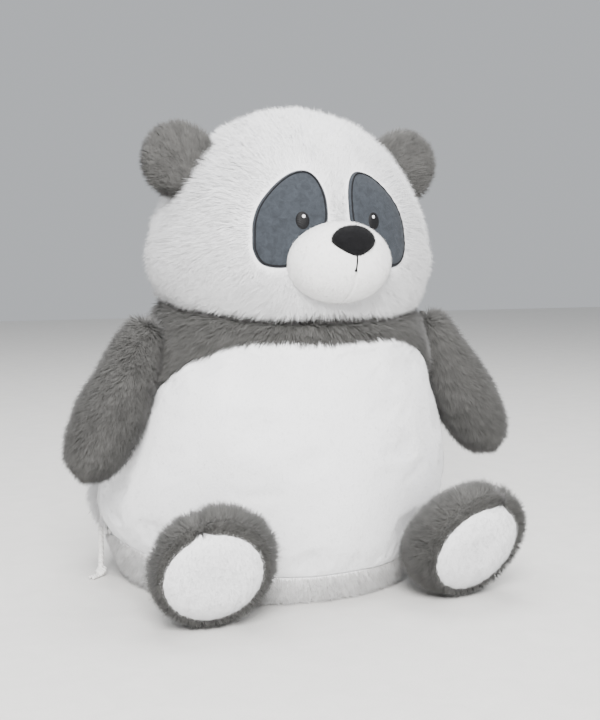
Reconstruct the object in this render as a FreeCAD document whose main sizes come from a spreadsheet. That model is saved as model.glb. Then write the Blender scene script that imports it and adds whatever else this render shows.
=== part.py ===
"""Seated plush panda with a weighted base and a zip round the back of its base seam.

Millimetres. +Z is up, the panda faces -Y and its right side is at -X. The origin is the
centre of the round base, on the surface that the panda sits on. Cloth covers are shells,
and the fibre and pellets inside them are solids of their own. The long pile is not
modelled, so covers lie at the level of the cloth that the pile grows from.
"""
import FreeCAD, Part
import math
import os

V = FreeCAD.Vector
X_AXIS, Y_AXIS, Z_AXIS = V(1, 0, 0), V(0, 1, 0), V(0, 0, 1)
SIDES = {"right": -1, "left": 1}
WORLD = 400.0

doc = FreeCAD.newDocument("plush_panda")
sheet = doc.addObject("Spreadsheet::Sheet", "Sizes")

# Elliptical sections: height, half width, half depth, centre along Y, and forward tilt in degrees
TORSO = {
    "Floor": (0.0, 102.0, 102.0, 0.0, 0.0),
    "Hem": (14.0, 110.5, 110.0, 0.0, 0.0),
    "Zip": (36.0, 119.5, 118.0, -1.0, 0.0),
    "Hips": (62.0, 128.0, 119.0, -6.0, 0.0),
    "Belly": (95.0, 123.0, 112.0, -15.0, 0.0),
    "Chest": (132.0, 113.0, 101.0, -25.0, 2.0),
    "Yoke": (165.0, 101.5, 89.0, -35.0, 5.0),
    "Collar": (183.0, 95.0, 83.5, -40.0, 7.0),
    "Neck": (199.0, 88.0, 78.0, -43.0, 8.0),
}
HEAD = {
    "Jaw": (209.0, 89.0, 81.0, -42.0, 8.0),
    "Cheek": (226.0, 94.0, 85.5, -44.0, 3.0),
    "Brow": (248.0, 90.5, 83.0, -46.0, 0.0),
    "Temple": (270.0, 80.5, 76.5, -48.0, 0.0),
    "Forehead": (290.0, 67.5, 66.0, -48.0, 0.0),
    "Crown": (304.0, 54.5, 53.5, -48.5, 0.0),
    "Parting": (316.0, 38.0, 37.0, -48.5, 0.0),
    "Tip": (325.0, 13.0, 13.0, -48.0, 0.0),
}
# Limb sections: distance from the joint, half width, half thickness, and sideways and upward shift
ARM = {
    "Root": (4.0, 6.0, 5.5, 0.0, 0.0),
    "Top": (14.0, 11.5, 10.5, 0.0, 0.0),
    "Sleeve": (40.0, 15.5, 14.0, 0.0, 0.0),
    "Wrist": (70.0, 18.5, 16.5, 0.0, 0.0),
    "Paw": (92.0, 16.5, 15.0, 0.0, 0.0),
    "Knuckle": (104.0, 10.5, 9.5, 0.0, 0.0),
    "End": (109.0, 4.0, 4.0, 0.0, 0.0),
}
LEG = {
    "Root": (4.5, 8.0, 8.0, 0.8, 2.1),
    "Thigh": (12.0, 19.0, 19.5, 2.0, 5.6),
    "Calf": (22.5, 27.5, 29.0, 4.0, 10.6),
    "Ankle": (36.0, 32.5, 35.5, 6.4, 17.0),
    "Sole": (48.4, 31.4, 35.0, 8.5, 22.8),
}
SIZES = {
    "CoverThick": 3.0,
    "LimbCover": 2.0,
    "SideSeam": 0.0,
    "ZipSeam": 36.0,
    "FrontSeam": 19.0,
    "BackYokeEdge": 140.0,
    "YokeTop": 177.5,
    "YokeFlat": 45.0,
    "YokeRound": 65.0,
    "BagTop": 26.0,
    "BallRound": 38.0,
    "BallGap": 0.6,
    "NeckForward": -43.0,
    "NeckHigh": 204.0,
    "ZipRound": 118.0,
    "TeethThick": 1.6,
    "TeethTall": 1.7,
    "TeethGap": 1.4,
    "TapeThick": 1.0,
    "TapeTall": 4.5,
    "ChannelInside": 5.5,
    "ChannelOutside": 12.0,
    "ChannelTall": 11.0,
    "RoomInside": 6.0,
    "RoomTall": 20.0,
    "StopThick": 2.2,
    "StopTall": 6.0,
    "SliderPlace": 173.0,
    "SliderLong": 9.0,
    "SliderTall": 8.0,
    "PlateThick": 1.5,
    "SliderClear": 0.4,
    "SliderBackIn": 5.4,
    "SliderBackTall": 6.0,
    "BridgeThick": 0.8,
    "BridgeLong": 1.2,
    "EyeletOut": 4.0,
    "EyeletLong": 3.0,
    "EyeletHole": 1.1,
    "EyeletRise": 0.9,
    "CordRound": 2.0,
    "KnotRound": 4.0,
    "TailRound": 1.6,
    "TailLong": 12.0,
    "MuzzleWide": 31.0,
    "MuzzleDeep": 27.0,
    "MuzzleTall": 24.0,
    "MuzzleForward": -127.0,
    "MuzzleHigh": 227.0,
    "NoseWide": 14.5,
    "NoseDeep": 7.5,
    "NoseTall": 9.0,
    "NoseForward": -151.0,
    "NoseHigh": 240.0,
    "StitchThick": 1.2,
    "EyeWide": 4.5,
    "EyeTall": 5.7,
    "EyeAside": 24.2,
    "EyeHigh": 252.8,
    "HighlightRound": 1.3,
    "HighlightAside": 23.0,
    "HighlightForward": -127.6,
    "HighlightHigh": 254.6,
    "HighlightThick": 0.6,
    "PatchThick": 1.0,
    "EarWide": 22.0,
    "EarThick": 8.5,
    "EarAside": 82.0,
    "EarForward": -56.0,
    "EarHigh": 293.0,
    "EarGap": 4.5,
    "TabRound": 3.2,
    "TabThick": 3.0,
    "ShoulderAside": 102.0,
    "ShoulderForward": -52.0,
    "ShoulderHigh": 187.0,
    "ArmOut": 27.0,
    "ArmForward": 9.0,
    "HipAside": 78.0,
    "HipForward": -98.0,
    "HipHigh": 38.0,
    "LegOut": 6.5,
    "LegDown": 23.5,
    "PadThick": 2.0,
}
SECTION_WORDS = ("Along", "Wide", "Deep", "Shift", "Lift")

# Right eye patch outline as the panda's right side is seen from the front: distance aside, height
PATCH = ((19.3, 285.0), (9.5, 276.0), (7.4, 263.3), (9.0, 250.0), (20.0, 229.0), (38.0, 223.0),
         (49.0, 225.7), (53.0, 237.0), (50.1, 253.0), (40.0, 270.0), (29.0, 280.5))
PATCH_MIDDLE = (30.0, 252.0)
STITCH_OUTER, STITCH_INNER = 0.93, 0.89
# Outward direction of the face beside the left eye: aside, along Y, up
FACE_NORMAL = (0.235, -0.951, 0.2)

# Start and sweep in degrees about +Z, from the panda's left side round its back to its right side
TAPE_SECTOR = (1.0, 178.0)
TEETH_SECTOR = (3.5, 173.0)
STOP_SECTORS = {"closed": (177.0, 1.4), "open": (1.6, 1.4)}

# Pull cord from the slider's eye down to its knot, chosen by hand
CORD_ROUTE = ((-121.4, 14.9, 36.5), (-121.9, 14.3, 28.5), (-121.5, 15.1, 19.5), (-122.0, 14.6, 10.5),
              (-121.7, 14.9, 3.5))
KNOT_PLACE = (-121.7, 14.9, 4.3)
TAIL_HEADING = 217.0


def write_sizes():
    """Fill the sheet with the plain sizes and the section tables, one aliased cell each."""
    rows = dict(SIZES)
    for part, table in (("Torso", TORSO), ("Head", HEAD), ("Arm", ARM), ("Leg", LEG)):
        for station, values in table.items():
            for word, value in zip(SECTION_WORDS, values):
                rows[f"{part}{station}{word}"] = value
    for row, (name, value) in enumerate(rows.items(), start=1):
        sheet.set(f"A{row}", name)
        sheet.set(f"B{row}", str(value))
        sheet.setAlias(f"B{row}", name)
    doc.recompute()


def size(name):
    """The number in a named cell."""
    return float(getattr(sheet, name))


def at(x, y, z, axis=Z_AXIS, degrees=0.0):
    """A placement at a point, turned about one axis."""
    return FreeCAD.Placement(V(x, y, z), FreeCAD.Rotation(axis, degrees))


def bound(kind, name, **expressions):
    """A Part primitive whose properties follow expressions on the sheet."""
    obj = doc.addObject(kind, name)
    for prop, expression in expressions.items():
        obj.setExpression(prop.replace("__", "."), expression)
    return obj


def cut(name, base, tool):
    """base minus tool."""
    obj = doc.addObject("Part::Cut", name)
    obj.Base, obj.Tool = base, tool
    return obj


def common(name, *shapes):
    """What all the shapes share."""
    obj = doc.addObject("Part::MultiCommon", name)
    obj.Shapes = list(shapes)
    return obj


def fuse(name, *shapes):
    """All the shapes joined."""
    obj = doc.addObject("Part::MultiFuse", name)
    obj.Shapes = list(shapes)
    return obj


def upright_loft(name, part, table, grow="0", floor_rise="0", top_rise="0"):
    """A solid through a part's elliptical sections, each grown by a number or a cell."""
    rings = []
    stations = list(table)
    for station in stations:
        rise = {stations[0]: floor_rise, stations[-1]: top_rise}.get(station, "0")
        key = f"Sizes.{part}{station}"
        ring = bound("Part::Ellipse", f"{name}_{station}",
                     MajorRadius=f"{key}Wide + {grow}", MinorRadius=f"{key}Deep + {grow}",
                     Placement__Base__y=f"{key}Shift", Placement__Base__z=f"{key}Along + {rise}")
        ring.Placement = at(0, 0, 0, X_AXIS, table[station][4])
        rings.append(ring)
    return loft(name, rings)


def loft(name, rings):
    """A smooth solid through closed rings."""
    obj = doc.addObject("Part::Loft", name)
    obj.Sections = rings
    obj.Solid = True
    return obj


def limb_loft(name, part, table, grow="0", end_grow="0"):
    """A limb along local +Z from its joint, its last section moved along by end_grow."""
    rings = []
    last = list(table)[-1]
    for station in table:
        key = f"Sizes.{part}{station}"
        reach = end_grow if station == last else "0"
        if table[station][1] >= table[station][2]:
            wide, deep, turn = "Wide", "Deep", 0.0
        else:
            wide, deep, turn = "Deep", "Wide", 90.0
        ring = bound("Part::Ellipse", f"{name}_{station}",
                     MajorRadius=f"{key}{wide} + {grow}", MinorRadius=f"{key}{deep} + {grow}",
                     Placement__Base__x=f"{key}Shift", Placement__Base__y=f"{key}Lift",
                     Placement__Base__z=f"{key}Along + {reach}")
        ring.Placement = at(0, 0, 0, Z_AXIS, turn)
        rings.append(ring)
    return loft(name, rings)


def slab(name, low, high):
    """A box between two corners, used to divide covers along their seams."""
    obj = doc.addObject("Part::Box", name)
    obj.Length, obj.Width, obj.Height = (h - l for l, h in zip(low, high))
    obj.Placement = at(*low)
    return obj


def half_space(name, section):
    """A large box that stands on the plane of a section, which may be tilted."""
    height, _, _, shift, tilt = section
    box = slab(name, (-WORLD, -WORLD, 0), (WORLD, WORLD, WORLD))
    box.Placement = at(0, shift, height, X_AXIS, tilt).multiply(at(-WORLD, -WORLD, 0))
    return box


def prism(name, curves):
    """A closed outline drawn in front view (aside, height) and carried forward from Y = 0."""
    sketch = doc.addObject("Sketcher::SketchObject", name + "_outline")
    sketch.addGeometry(curves, False)
    sketch.Placement = at(0, 0, 0, X_AXIS, 90.0)
    solid = doc.addObject("Part::Extrusion", name)
    solid.Base = sketch
    solid.DirMode = "Normal"
    solid.LengthFwd = WORLD
    solid.Solid = True
    return solid


def ring_sector(name, inner, outer, low, tall, start=0.0, sweep=180.0):
    """Part of an upright ring about the vertical axis, its sizes given as expressions."""
    outside = bound("Part::Cylinder", name + "_outside", Radius=outer, Height=tall, Angle=str(sweep),
                    Placement__Base__z=low)
    outside.Placement = at(0, 0, 0, Z_AXIS, start)
    inside = bound("Part::Cylinder", name + "_inside", Radius=inner, Height=tall, Placement__Base__z=low)
    return cut(name, outside, inside)


def ellipsoid(name, wide, deep, tall, grow="0"):
    """An ellipsoid about the origin with its half sizes along X, Y and Z given as cell names."""
    return bound("Part::Ellipsoid", name, Radius2=f"Sizes.{wide} + {grow}", Radius3=f"Sizes.{deep} + {grow}",
                 Radius1=f"Sizes.{tall} + {grow}")


def spline(points):
    """A closed smooth curve through points (aside, height) for a front-view outline."""
    curve = Part.BSplineCurve()
    curve.interpolate([V(x, z, 0) for x, z in points], PeriodicFlag=True)
    return [curve]


def scaled(points, middle, factor, side):
    """Outline points drawn in towards their middle, on the right (-1) or left (+1) side."""
    return [(side * (middle[0] + (x - middle[0]) * factor), middle[1] + (z - middle[1]) * factor)
            for x, z in points]


def make_torso():
    """Belly, back, yokes and base cut from one shell, with the pellet bag and fibre inside."""
    outer = upright_loft("torso_outer", "Torso", TORSO)
    inner = upright_loft("torso_inner", "Torso", TORSO, "-Sizes.CoverThick", "Sizes.CoverThick",
                         "Sizes.CoverThick")
    shell = cut("torso_shell", outer, inner)
    channel = ring_sector("zip_channel", "Sizes.ZipRound - Sizes.ChannelInside",
                          "Sizes.ZipRound + Sizes.ChannelOutside", "Sizes.ZipSeam - Sizes.ChannelTall / 2",
                          "Sizes.ChannelTall")
    shell = cut("torso_shell_open", shell, channel)
    side, zip_z, front_z = size("SideSeam"), size("ZipSeam"), size("FrontSeam")
    front = size("TorsoZipDeep")

    wire = Part.makePolygon([V(0, -WORLD, -1), V(0, -WORLD, front_z - (zip_z - front_z) * (WORLD / front - 1)),
                             V(0, 0, zip_z), V(0, WORLD, zip_z), V(0, WORLD, -1), V(0, -WORLD, -1)])
    low = doc.addObject("Part::Feature", "below_base_seam")
    low.Shape = Part.Face(wire).extrude(V(2 * WORLD, 0, 0))
    low.Placement = at(-WORLD, 0, 0)

    flat, turn, top = size("YokeFlat"), size("YokeRound"), size("YokeTop")
    sweep = math.radians(70)
    centre = V(flat, top - turn, 0)
    corner = centre + V(turn * math.sin(sweep), turn * math.cos(sweep), 0)
    middle = centre + V(turn * math.sin(sweep / 2), turn * math.cos(sweep / 2), 0)
    points = {"corner": corner, "hem": V(WORLD / 2, corner.y - 30, 0), "foot": V(WORLD / 2, -1, 0)}
    mirrored = {key: V(-p.x, p.y, 0) for key, p in points.items()}
    outline = [Part.LineSegment(V(-flat, top, 0), V(flat, top, 0)),
               Part.Arc(V(flat, top, 0), middle, corner),
               Part.LineSegment(corner, points["hem"]),
               Part.LineSegment(points["hem"], points["foot"]),
               Part.LineSegment(points["foot"], mirrored["foot"]),
               Part.LineSegment(mirrored["foot"], mirrored["hem"]),
               Part.LineSegment(mirrored["hem"], mirrored["corner"]),
               Part.Arc(mirrored["corner"], V(-middle.x, middle.y, 0), V(-flat, top, 0))]
    arch = prism("belly_arch", outline)

    fore = slab("front_half", (-WORLD, -WORLD, -1), (WORLD, side, WORLD))
    rear_low = slab("rear_below_yoke", (-WORLD, side, -1), (WORLD, WORLD, size("BackYokeEdge")))
    rear_high = slab("rear_above_edge", (-WORLD, side, size("BackYokeEdge")), (WORLD, WORLD, WORLD))
    upper = cut("shell_above_base", shell, low)
    parts = [common("base_panel", shell, low),
             common("belly_panel", upper, arch),
             common("front_yoke", upper, cut("above_belly", fore, arch)),
             common("back_panel", upper, rear_low),
             common("back_yoke", upper, rear_high)]

    under = slab("bag_space", (-WORLD, -WORLD, -1), (WORLD, WORLD, size("BagTop")))
    over = slab("fibre_space", (-WORLD, -WORLD, size("BagTop")), (WORLD, WORLD, WORLD))
    room = ring_sector("zip_room", "Sizes.ZipRound - Sizes.RoomInside",
                       "Sizes.ZipRound + Sizes.ChannelOutside", "Sizes.ZipSeam - Sizes.RoomTall / 2",
                       "Sizes.RoomTall")
    socket = bound("Part::Sphere", "lower_socket", Radius="Sizes.BallRound + Sizes.BallGap",
                   Placement__Base__y="Sizes.NeckForward", Placement__Base__z="Sizes.NeckHigh")
    room_and_socket = fuse("zip_room_and_socket", room, socket)
    parts.append(cut("bean_bag", common("bag_inside", inner, under), room))
    neck_space = half_space("neck_space", TORSO["Neck"])
    fibre = cut("fibre_under_neck", common("fibre_inside", inner, over), neck_space)
    parts.append(cut("body_filling", fibre, room_and_socket))
    return parts


def make_zip():
    """Two tapes, two rows of teeth and a stop at each end, round the rear half."""
    outer = "Sizes.ZipRound - Sizes.TeethThick"
    half_gap = "Sizes.TeethGap / 2"
    upper, lower = (ring_sector(name, f"{outer} - Sizes.TapeThick", outer, low, "Sizes.TapeTall", *TAPE_SECTOR)
                    for name, low in (("zip_upper_tape", f"Sizes.ZipSeam + {half_gap}"),
                                      ("zip_lower_tape", f"Sizes.ZipSeam - {half_gap} - Sizes.TapeTall")))
    rows = []
    for name, low in (("upper_row", f"Sizes.ZipSeam + {half_gap}"),
                      ("lower_row", f"Sizes.ZipSeam - {half_gap} - Sizes.TeethTall")):
        rows.append(ring_sector(name, "Sizes.ZipRound - Sizes.TeethThick", "Sizes.ZipRound", low,
                                "Sizes.TeethTall", *TEETH_SECTOR))
    teeth = doc.addObject("Part::Compound", "zip_teeth")
    teeth.Links = rows
    stops = doc.addObject("Part::Compound", "zip_end_stops")
    stops.Links = [ring_sector(f"stop_{end}", "Sizes.ZipRound - Sizes.TeethThick",
                               "Sizes.ZipRound - Sizes.TeethThick + Sizes.StopThick",
                               "Sizes.ZipSeam - Sizes.StopTall / 2", "Sizes.StopTall", *sector)
                   for end, sector in STOP_SECTORS.items()]
    return [upper, lower, teeth, stops]


def make_slider():
    """Slider plates either side of the tapes, a bridge between the rows, and an eye for the cord."""
    radius, seam, tall, long = size("ZipRound"), size("ZipSeam"), size("SliderTall"), size("SliderLong")
    thick, half_bridge, eye_long = size("PlateThick"), size("BridgeThick") / 2, size("EyeletLong")
    face = radius + size("SliderClear")
    back_in = radius - size("SliderBackIn")
    half_back, back_start = size("SliderBackTall") / 2, 0.5 - long / 2
    plate = slab("slider_face", (face, -long / 2, seam - tall / 2), (face + thick, long / 2, seam + tall / 2))
    back = slab("slider_back", (back_in, back_start, seam - half_back),
                (back_in + thick, -back_start, seam + half_back))
    bridge = slab("slider_bridge", (back_in + thick / 2, back_start, seam - half_bridge),
                  (face + thick / 2, back_start + size("BridgeLong"), seam + half_bridge))
    body = fuse("zip_slider_body", plate, back, bridge)
    eye_low = seam + size("EyeletRise")
    block = slab("eye_block", (face + thick, -eye_long / 2, eye_low),
                 (face + thick + size("EyeletOut"), eye_long / 2, seam + tall / 2))
    hole = bound("Part::Cylinder", "eye_hole", Radius="Sizes.EyeletHole", Height="2 * Sizes.EyeletLong")
    hole.Placement = at(face + thick + size("EyeletOut") / 2, eye_long, (eye_low + seam + tall / 2) / 2,
                        X_AXIS, 90.0)
    eye = cut("zip_slider_eye", block, hole)
    for piece in (body, eye):
        piece.Placement = at(0, 0, 0, Z_AXIS, size("SliderPlace"))
    return [body, eye]


def rounded_route(points):
    """Straight runs joined by tangent arcs, each 0.45 of its shorter run over the tangent of half its turn."""
    route = [V(*p) for p in points]
    edges, start = [], route[0]
    for before, corner, after in zip(route, route[1:], route[2:]):
        back, ahead = (before - corner), (after - corner)
        reach = 0.45 * min(back.Length, ahead.Length)
        enter = corner + back * (reach / back.Length)
        leave = corner + ahead * (reach / ahead.Length)
        half_turn = (math.pi - back.getAngle(ahead)) / 2
        radius = reach / math.tan(half_turn)
        bisector = (enter + leave) * 0.5 - corner
        centre = corner + bisector * ((radius / math.cos(half_turn)) / bisector.Length)
        middle = centre + (corner - centre) * (radius / (corner - centre).Length)
        print(f"cord bend radius {radius:.1f} mm, turn {math.degrees(2 * half_turn):.1f} degrees")
        edges += [Part.LineSegment(start, enter).toShape(), Part.Arc(enter, middle, leave).toShape()]
        start = leave
    edges.append(Part.LineSegment(start, route[-1]).toShape())
    return Part.Wire(edges)


def make_pull():
    """The limp pull cord as one plain tube, and its knot with a short tail lying on the surface."""
    wire = rounded_route(CORD_ROUTE)
    radius = size("CordRound")
    leaving = V(*CORD_ROUTE[1]) - V(*CORD_ROUTE[0])
    section = Part.Wire(Part.Circle(V(*CORD_ROUTE[0]), leaving, radius).toShape())
    tube = wire.makePipeShell([section], True, False)
    expected = math.pi * radius ** 2 * wire.Length
    print(f"cord length {wire.Length:.1f} mm, volume {tube.Volume:.1f} against {expected:.1f} mm3")
    turn = math.radians(TAIL_HEADING)
    heading = V(math.cos(turn), math.sin(turn), 0)
    knot = Part.makeSphere(size("KnotRound"), V(0, 0, 0), heading)
    trimmed = doc.addObject("Part::Feature", "zip_pull_cord")
    trimmed.Shape = tube.cut(knot.translated(V(*KNOT_PLACE)))
    tail_low = size("TailRound") + 0.2 - KNOT_PLACE[2]
    tail = Part.makeCylinder(size("TailRound"), size("TailLong"), V(0, 0, tail_low) + heading, heading)
    bundle = doc.addObject("Part::Feature", "zip_pull_knot")
    bundle.Shape = knot.fuse(tail)
    bundle.Placement = at(*KNOT_PLACE)
    return [trimmed, bundle]


def make_neck():
    """The ball of fibre that fills the neck and lets the head turn and nod."""
    ball = bound("Part::Sphere", "neck_filling", Radius="Sizes.BallRound", Placement__Base__y="Sizes.NeckForward",
                 Placement__Base__z="Sizes.NeckHigh")
    return [ball]


def make_head():
    """Face and back panels over the head's fibre, and every piece sewn to the face."""
    outer = upright_loft("head_outer", "Head", HEAD)
    inner = upright_loft("head_inner", "Head", HEAD, "-Sizes.CoverThick", "-Sizes.CoverThick", "-Sizes.CoverThick")
    shell = cut("head_shell", outer, inner)
    seam = size("EarForward")
    front = slab("head_front_half", (-WORLD, -WORLD, -1), (WORLD, seam, WORLD))
    rear = slab("head_rear_half", (-WORLD, seam, -1), (WORLD, WORLD, WORLD))
    parts = [common("head_front_panel", shell, front), common("head_back_panel", shell, rear)]
    level = common("head_fibre", inner, half_space("head_space", HEAD["Jaw"]))
    socket = bound("Part::Sphere", "upper_socket", Radius="Sizes.BallRound + Sizes.BallGap",
                   Placement__Base__y="Sizes.NeckForward", Placement__Base__z="Sizes.NeckHigh")
    parts.append(cut("head_filling", level, socket))

    thick = "Sizes.PatchThick"
    layers = [outer] + [upright_loft(f"face_layer_{n}", "Head", HEAD, f"{n} * {thick}") for n in (1, 2)]
    cloth, thread = (cut(f"face_shell_{n}", layers[n], layers[n - 1]) for n in (1, 2))
    muzzle = ellipsoid("muzzle_form", "MuzzleWide", "MuzzleDeep", "MuzzleTall")
    fill = ellipsoid("muzzle_fill_form", "MuzzleWide", "MuzzleDeep", "MuzzleTall", "-Sizes.LimbCover")
    for form in (muzzle, fill):
        form.Placement = at(0, size("MuzzleForward"), size("MuzzleHigh"))
    for name, side in SIDES.items():
        edge = prism(f"{name}_patch_edge", spline(scaled(PATCH, PATCH_MIDDLE, 1.0, side)))
        parts.append(cut(f"{name}_eye_patch", common(f"{name}_patch_cloth", cloth, edge), muzzle))
        rims = [prism(f"{name}_stitch_rim_{n}", spline(scaled(PATCH, PATCH_MIDDLE, factor, side)))
                for n, factor in enumerate((STITCH_OUTER, STITCH_INNER))]
        line = cut(f"{name}_stitch_line", rims[0], rims[1])
        parts.append(cut(f"{name}_patch_stitching", common(f"{name}_stitch_thread", thread, line), muzzle))
        aside = side * size("EyeAside")
        oval = Part.Ellipse(V(aside, size("EyeHigh") + size("EyeTall"), 0),
                            V(aside + size("EyeWide"), size("EyeHigh"), 0), V(aside, size("EyeHigh"), 0))
        parts.append(common(f"{name}_eye", thread, prism(f"{name}_eye_edge", [oval])))
        spot = bound("Part::Cylinder", f"{name}_eye_highlight", Radius="Sizes.HighlightRound",
                     Height="Sizes.HighlightThick")
        outward = FreeCAD.Rotation(Z_AXIS, V(side * FACE_NORMAL[0], *FACE_NORMAL[1:]))
        spot.Placement = FreeCAD.Placement(V(side * size("HighlightAside"), size("HighlightForward"),
                                             size("HighlightHigh")), outward)
        parts.append(spot)

    parts.append(cut("muzzle_cover", cut("muzzle_shell", muzzle, fill), outer))
    parts.append(cut("muzzle_filling", fill, outer))
    nose = ellipsoid("nose_form", "NoseWide", "NoseDeep", "NoseTall")
    nose.Placement = at(0, size("NoseForward"), size("NoseHigh"), X_AXIS, -25.0)
    parts.append(cut("nose", nose, muzzle))
    raised = ellipsoid("mouth_form", "MuzzleWide", "MuzzleDeep", "MuzzleTall", "Sizes.StitchThick / 2")
    raised.Placement = muzzle.Placement
    half = size("StitchThick") / 2
    strip = slab("mouth_strip", (-half, -WORLD, size("NoseHigh") - 18.5), (half, size("MuzzleForward"),
                                                                         size("NoseHigh") - 7.0))
    stitch = cut("mouth_raised", common("mouth_line", raised, strip), muzzle)
    parts.append(cut("mouth_stitch", stitch, nose))
    return parts


def make_ears():
    """Each ear: a front cloth, a back cloth and its fibre, trimmed clear of the head."""
    clear = upright_loft("ear_clearance", "Head", HEAD, "Sizes.EarGap")
    parts = []
    for name, side in SIDES.items():
        form = ellipsoid(f"{name}_ear_form", "EarWide", "EarThick", "EarWide")
        core = ellipsoid(f"{name}_ear_core", "EarWide", "EarThick", "EarWide", "-Sizes.LimbCover")
        for piece in (form, core):
            piece.Placement = at(side * size("EarAside"), size("EarForward"), size("EarHigh"))
        cover = cut(f"{name}_ear_cover", cut(f"{name}_ear_shell", form, core), clear)
        middle = size("EarForward")
        for word, low, high in (("front", -WORLD, middle), ("back", middle, WORLD)):
            half = slab(f"{name}_ear_{word}_half", (-WORLD, low, -1), (WORLD, high, WORLD))
            parts.append(common(f"{name}_ear_{word}", cover, half))
        parts.append(cut(f"{name}_ear_filling", core, clear))
    return parts


def tab(name, place):
    """The small stitched tab that joins a limb to the body."""
    disc = bound("Part::Cylinder", name, Radius="Sizes.TabRound", Height="Sizes.TabThick")
    disc.Placement = place
    return disc


def make_arms():
    """Each arm: a grey cover and its fibre, hung from a stitched tab at the shoulder."""
    parts = []
    for name, side in SIDES.items():
        cover = limb_loft(f"{name}_arm_form", "Arm", ARM)
        fill = limb_loft(f"{name}_arm_core", "Arm", ARM, "-Sizes.LimbCover", "-Sizes.LimbCover")
        lean = FreeCAD.Rotation(Y_AXIS, 180.0 - side * size("ArmOut"))
        swing = FreeCAD.Rotation(X_AXIS, -size("ArmForward"))
        joint = V(side * size("ShoulderAside"), size("ShoulderForward"), size("ShoulderHigh"))
        place = FreeCAD.Placement(joint, swing.multiply(lean))
        shell = cut(f"{name}_arm_cover", cover, fill)
        stuffing = doc.addObject("Part::Compound", f"{name}_arm_filling")
        stuffing.Links = [fill]
        for piece in (shell, stuffing):
            piece.Placement = place
        stitched = tab(f"{name}_shoulder_tab", FreeCAD.Placement(
            joint - V(size("TabThick") / 2, 0, 0), FreeCAD.Rotation(Y_AXIS, 90.0)))
        parts += [stitched, shell, stuffing]
    return parts


def make_legs():
    """Each leg: a grey cover, a white sole pad and its fibre, from a stitched tab at the hip."""
    parts = []
    for name, side in SIDES.items():
        cover = limb_loft(f"{name}_leg_form", "Leg", LEG)
        fill = limb_loft(f"{name}_leg_core", "Leg", LEG, "-Sizes.LimbCover", "-Sizes.PadThick")
        for body in (cover, fill):
            for ring, station in zip(body.Sections, LEG):
                ring.setExpression("Placement.Base.x", f"{side} * Sizes.Leg{station}Shift")
        end = size("LegSoleAlong")
        pad_space = slab(f"{name}_pad_space", (-WORLD, -WORLD, end - size("PadThick")), (WORLD, WORLD, end + 1))
        shell = cut(f"{name}_leg_shell", cover, fill)
        sleeve = cut(f"{name}_leg_cover", shell, pad_space)
        pad = common(f"{name}_sole_pad", shell, pad_space)
        stuffing = doc.addObject("Part::Compound", f"{name}_leg_filling")
        stuffing.Links = [fill]
        face_front = FreeCAD.Rotation(X_AXIS, 90.0 + size("LegDown"))
        turn_out = FreeCAD.Rotation(Z_AXIS, side * size("LegOut"))
        joint = V(side * size("HipAside"), size("HipForward"), size("HipHigh"))
        place = FreeCAD.Placement(joint, turn_out.multiply(face_front))
        for piece in (sleeve, pad, stuffing):
            piece.Placement = place
        stitched = tab(f"{name}_hip_tab", FreeCAD.Placement(
            joint, turn_out.multiply(FreeCAD.Rotation(X_AXIS, 90.0))))
        parts += [stitched, sleeve, pad, stuffing]
    return parts


def check_document(parts):
    """Stop if any object failed, or any sub-part is empty or not a valid shape."""
    failed = [obj.Name for obj in doc.Objects if "Invalid" in obj.State or "Error" in obj.State]
    if failed:
        raise RuntimeError("failed objects: " + ", ".join(failed))
    for part in parts:
        if part.Shape.isNull() or not part.Shape.isValid() or part.Shape.Volume <= 0:
            raise RuntimeError(f"{part.Label} has no valid shape")


def main():
    """Build every sub-part, check them, and write one STEP file for each."""
    write_sizes()
    parts = make_torso() + make_zip() + make_slider() + make_pull() + make_neck() + make_head()
    parts += make_ears() + make_arms() + make_legs()
    for part in parts:
        part.Label = part.Name
    doc.recompute()
    check_document(parts)
    os.makedirs("parts", exist_ok=True)
    for part in parts:
        part.Shape.exportStep(f"parts/{part.Label}.step")
    print(len(parts), "sub-parts written")


main()
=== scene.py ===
"""Seated plush panda: soft covers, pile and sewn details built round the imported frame."""

import logging
import math
from dataclasses import dataclass, field
from enum import Enum
from typing import Callable, Sequence

import bpy
import numpy as np
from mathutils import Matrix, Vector


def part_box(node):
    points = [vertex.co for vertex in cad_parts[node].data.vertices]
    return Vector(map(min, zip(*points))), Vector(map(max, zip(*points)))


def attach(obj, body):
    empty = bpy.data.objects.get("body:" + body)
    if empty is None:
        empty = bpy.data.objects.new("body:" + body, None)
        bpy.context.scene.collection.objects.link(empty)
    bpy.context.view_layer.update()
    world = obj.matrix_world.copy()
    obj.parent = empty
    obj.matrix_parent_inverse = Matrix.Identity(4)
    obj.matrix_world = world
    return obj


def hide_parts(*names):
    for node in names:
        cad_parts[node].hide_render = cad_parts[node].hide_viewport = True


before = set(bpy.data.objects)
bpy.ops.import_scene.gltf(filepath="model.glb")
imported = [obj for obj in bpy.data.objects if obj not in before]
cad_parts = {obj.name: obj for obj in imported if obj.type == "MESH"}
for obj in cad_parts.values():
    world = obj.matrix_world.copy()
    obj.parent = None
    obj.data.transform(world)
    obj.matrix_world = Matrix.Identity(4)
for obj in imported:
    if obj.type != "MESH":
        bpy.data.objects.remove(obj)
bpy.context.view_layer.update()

log = logging.getLogger("plush_panda")
MM = 0.001
SIDES = {"right": -1.0, "left": 1.0}
Array = np.ndarray
Field = Callable[[Array], Array]


# ---------------------------------------------------------------- camera and light

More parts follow.
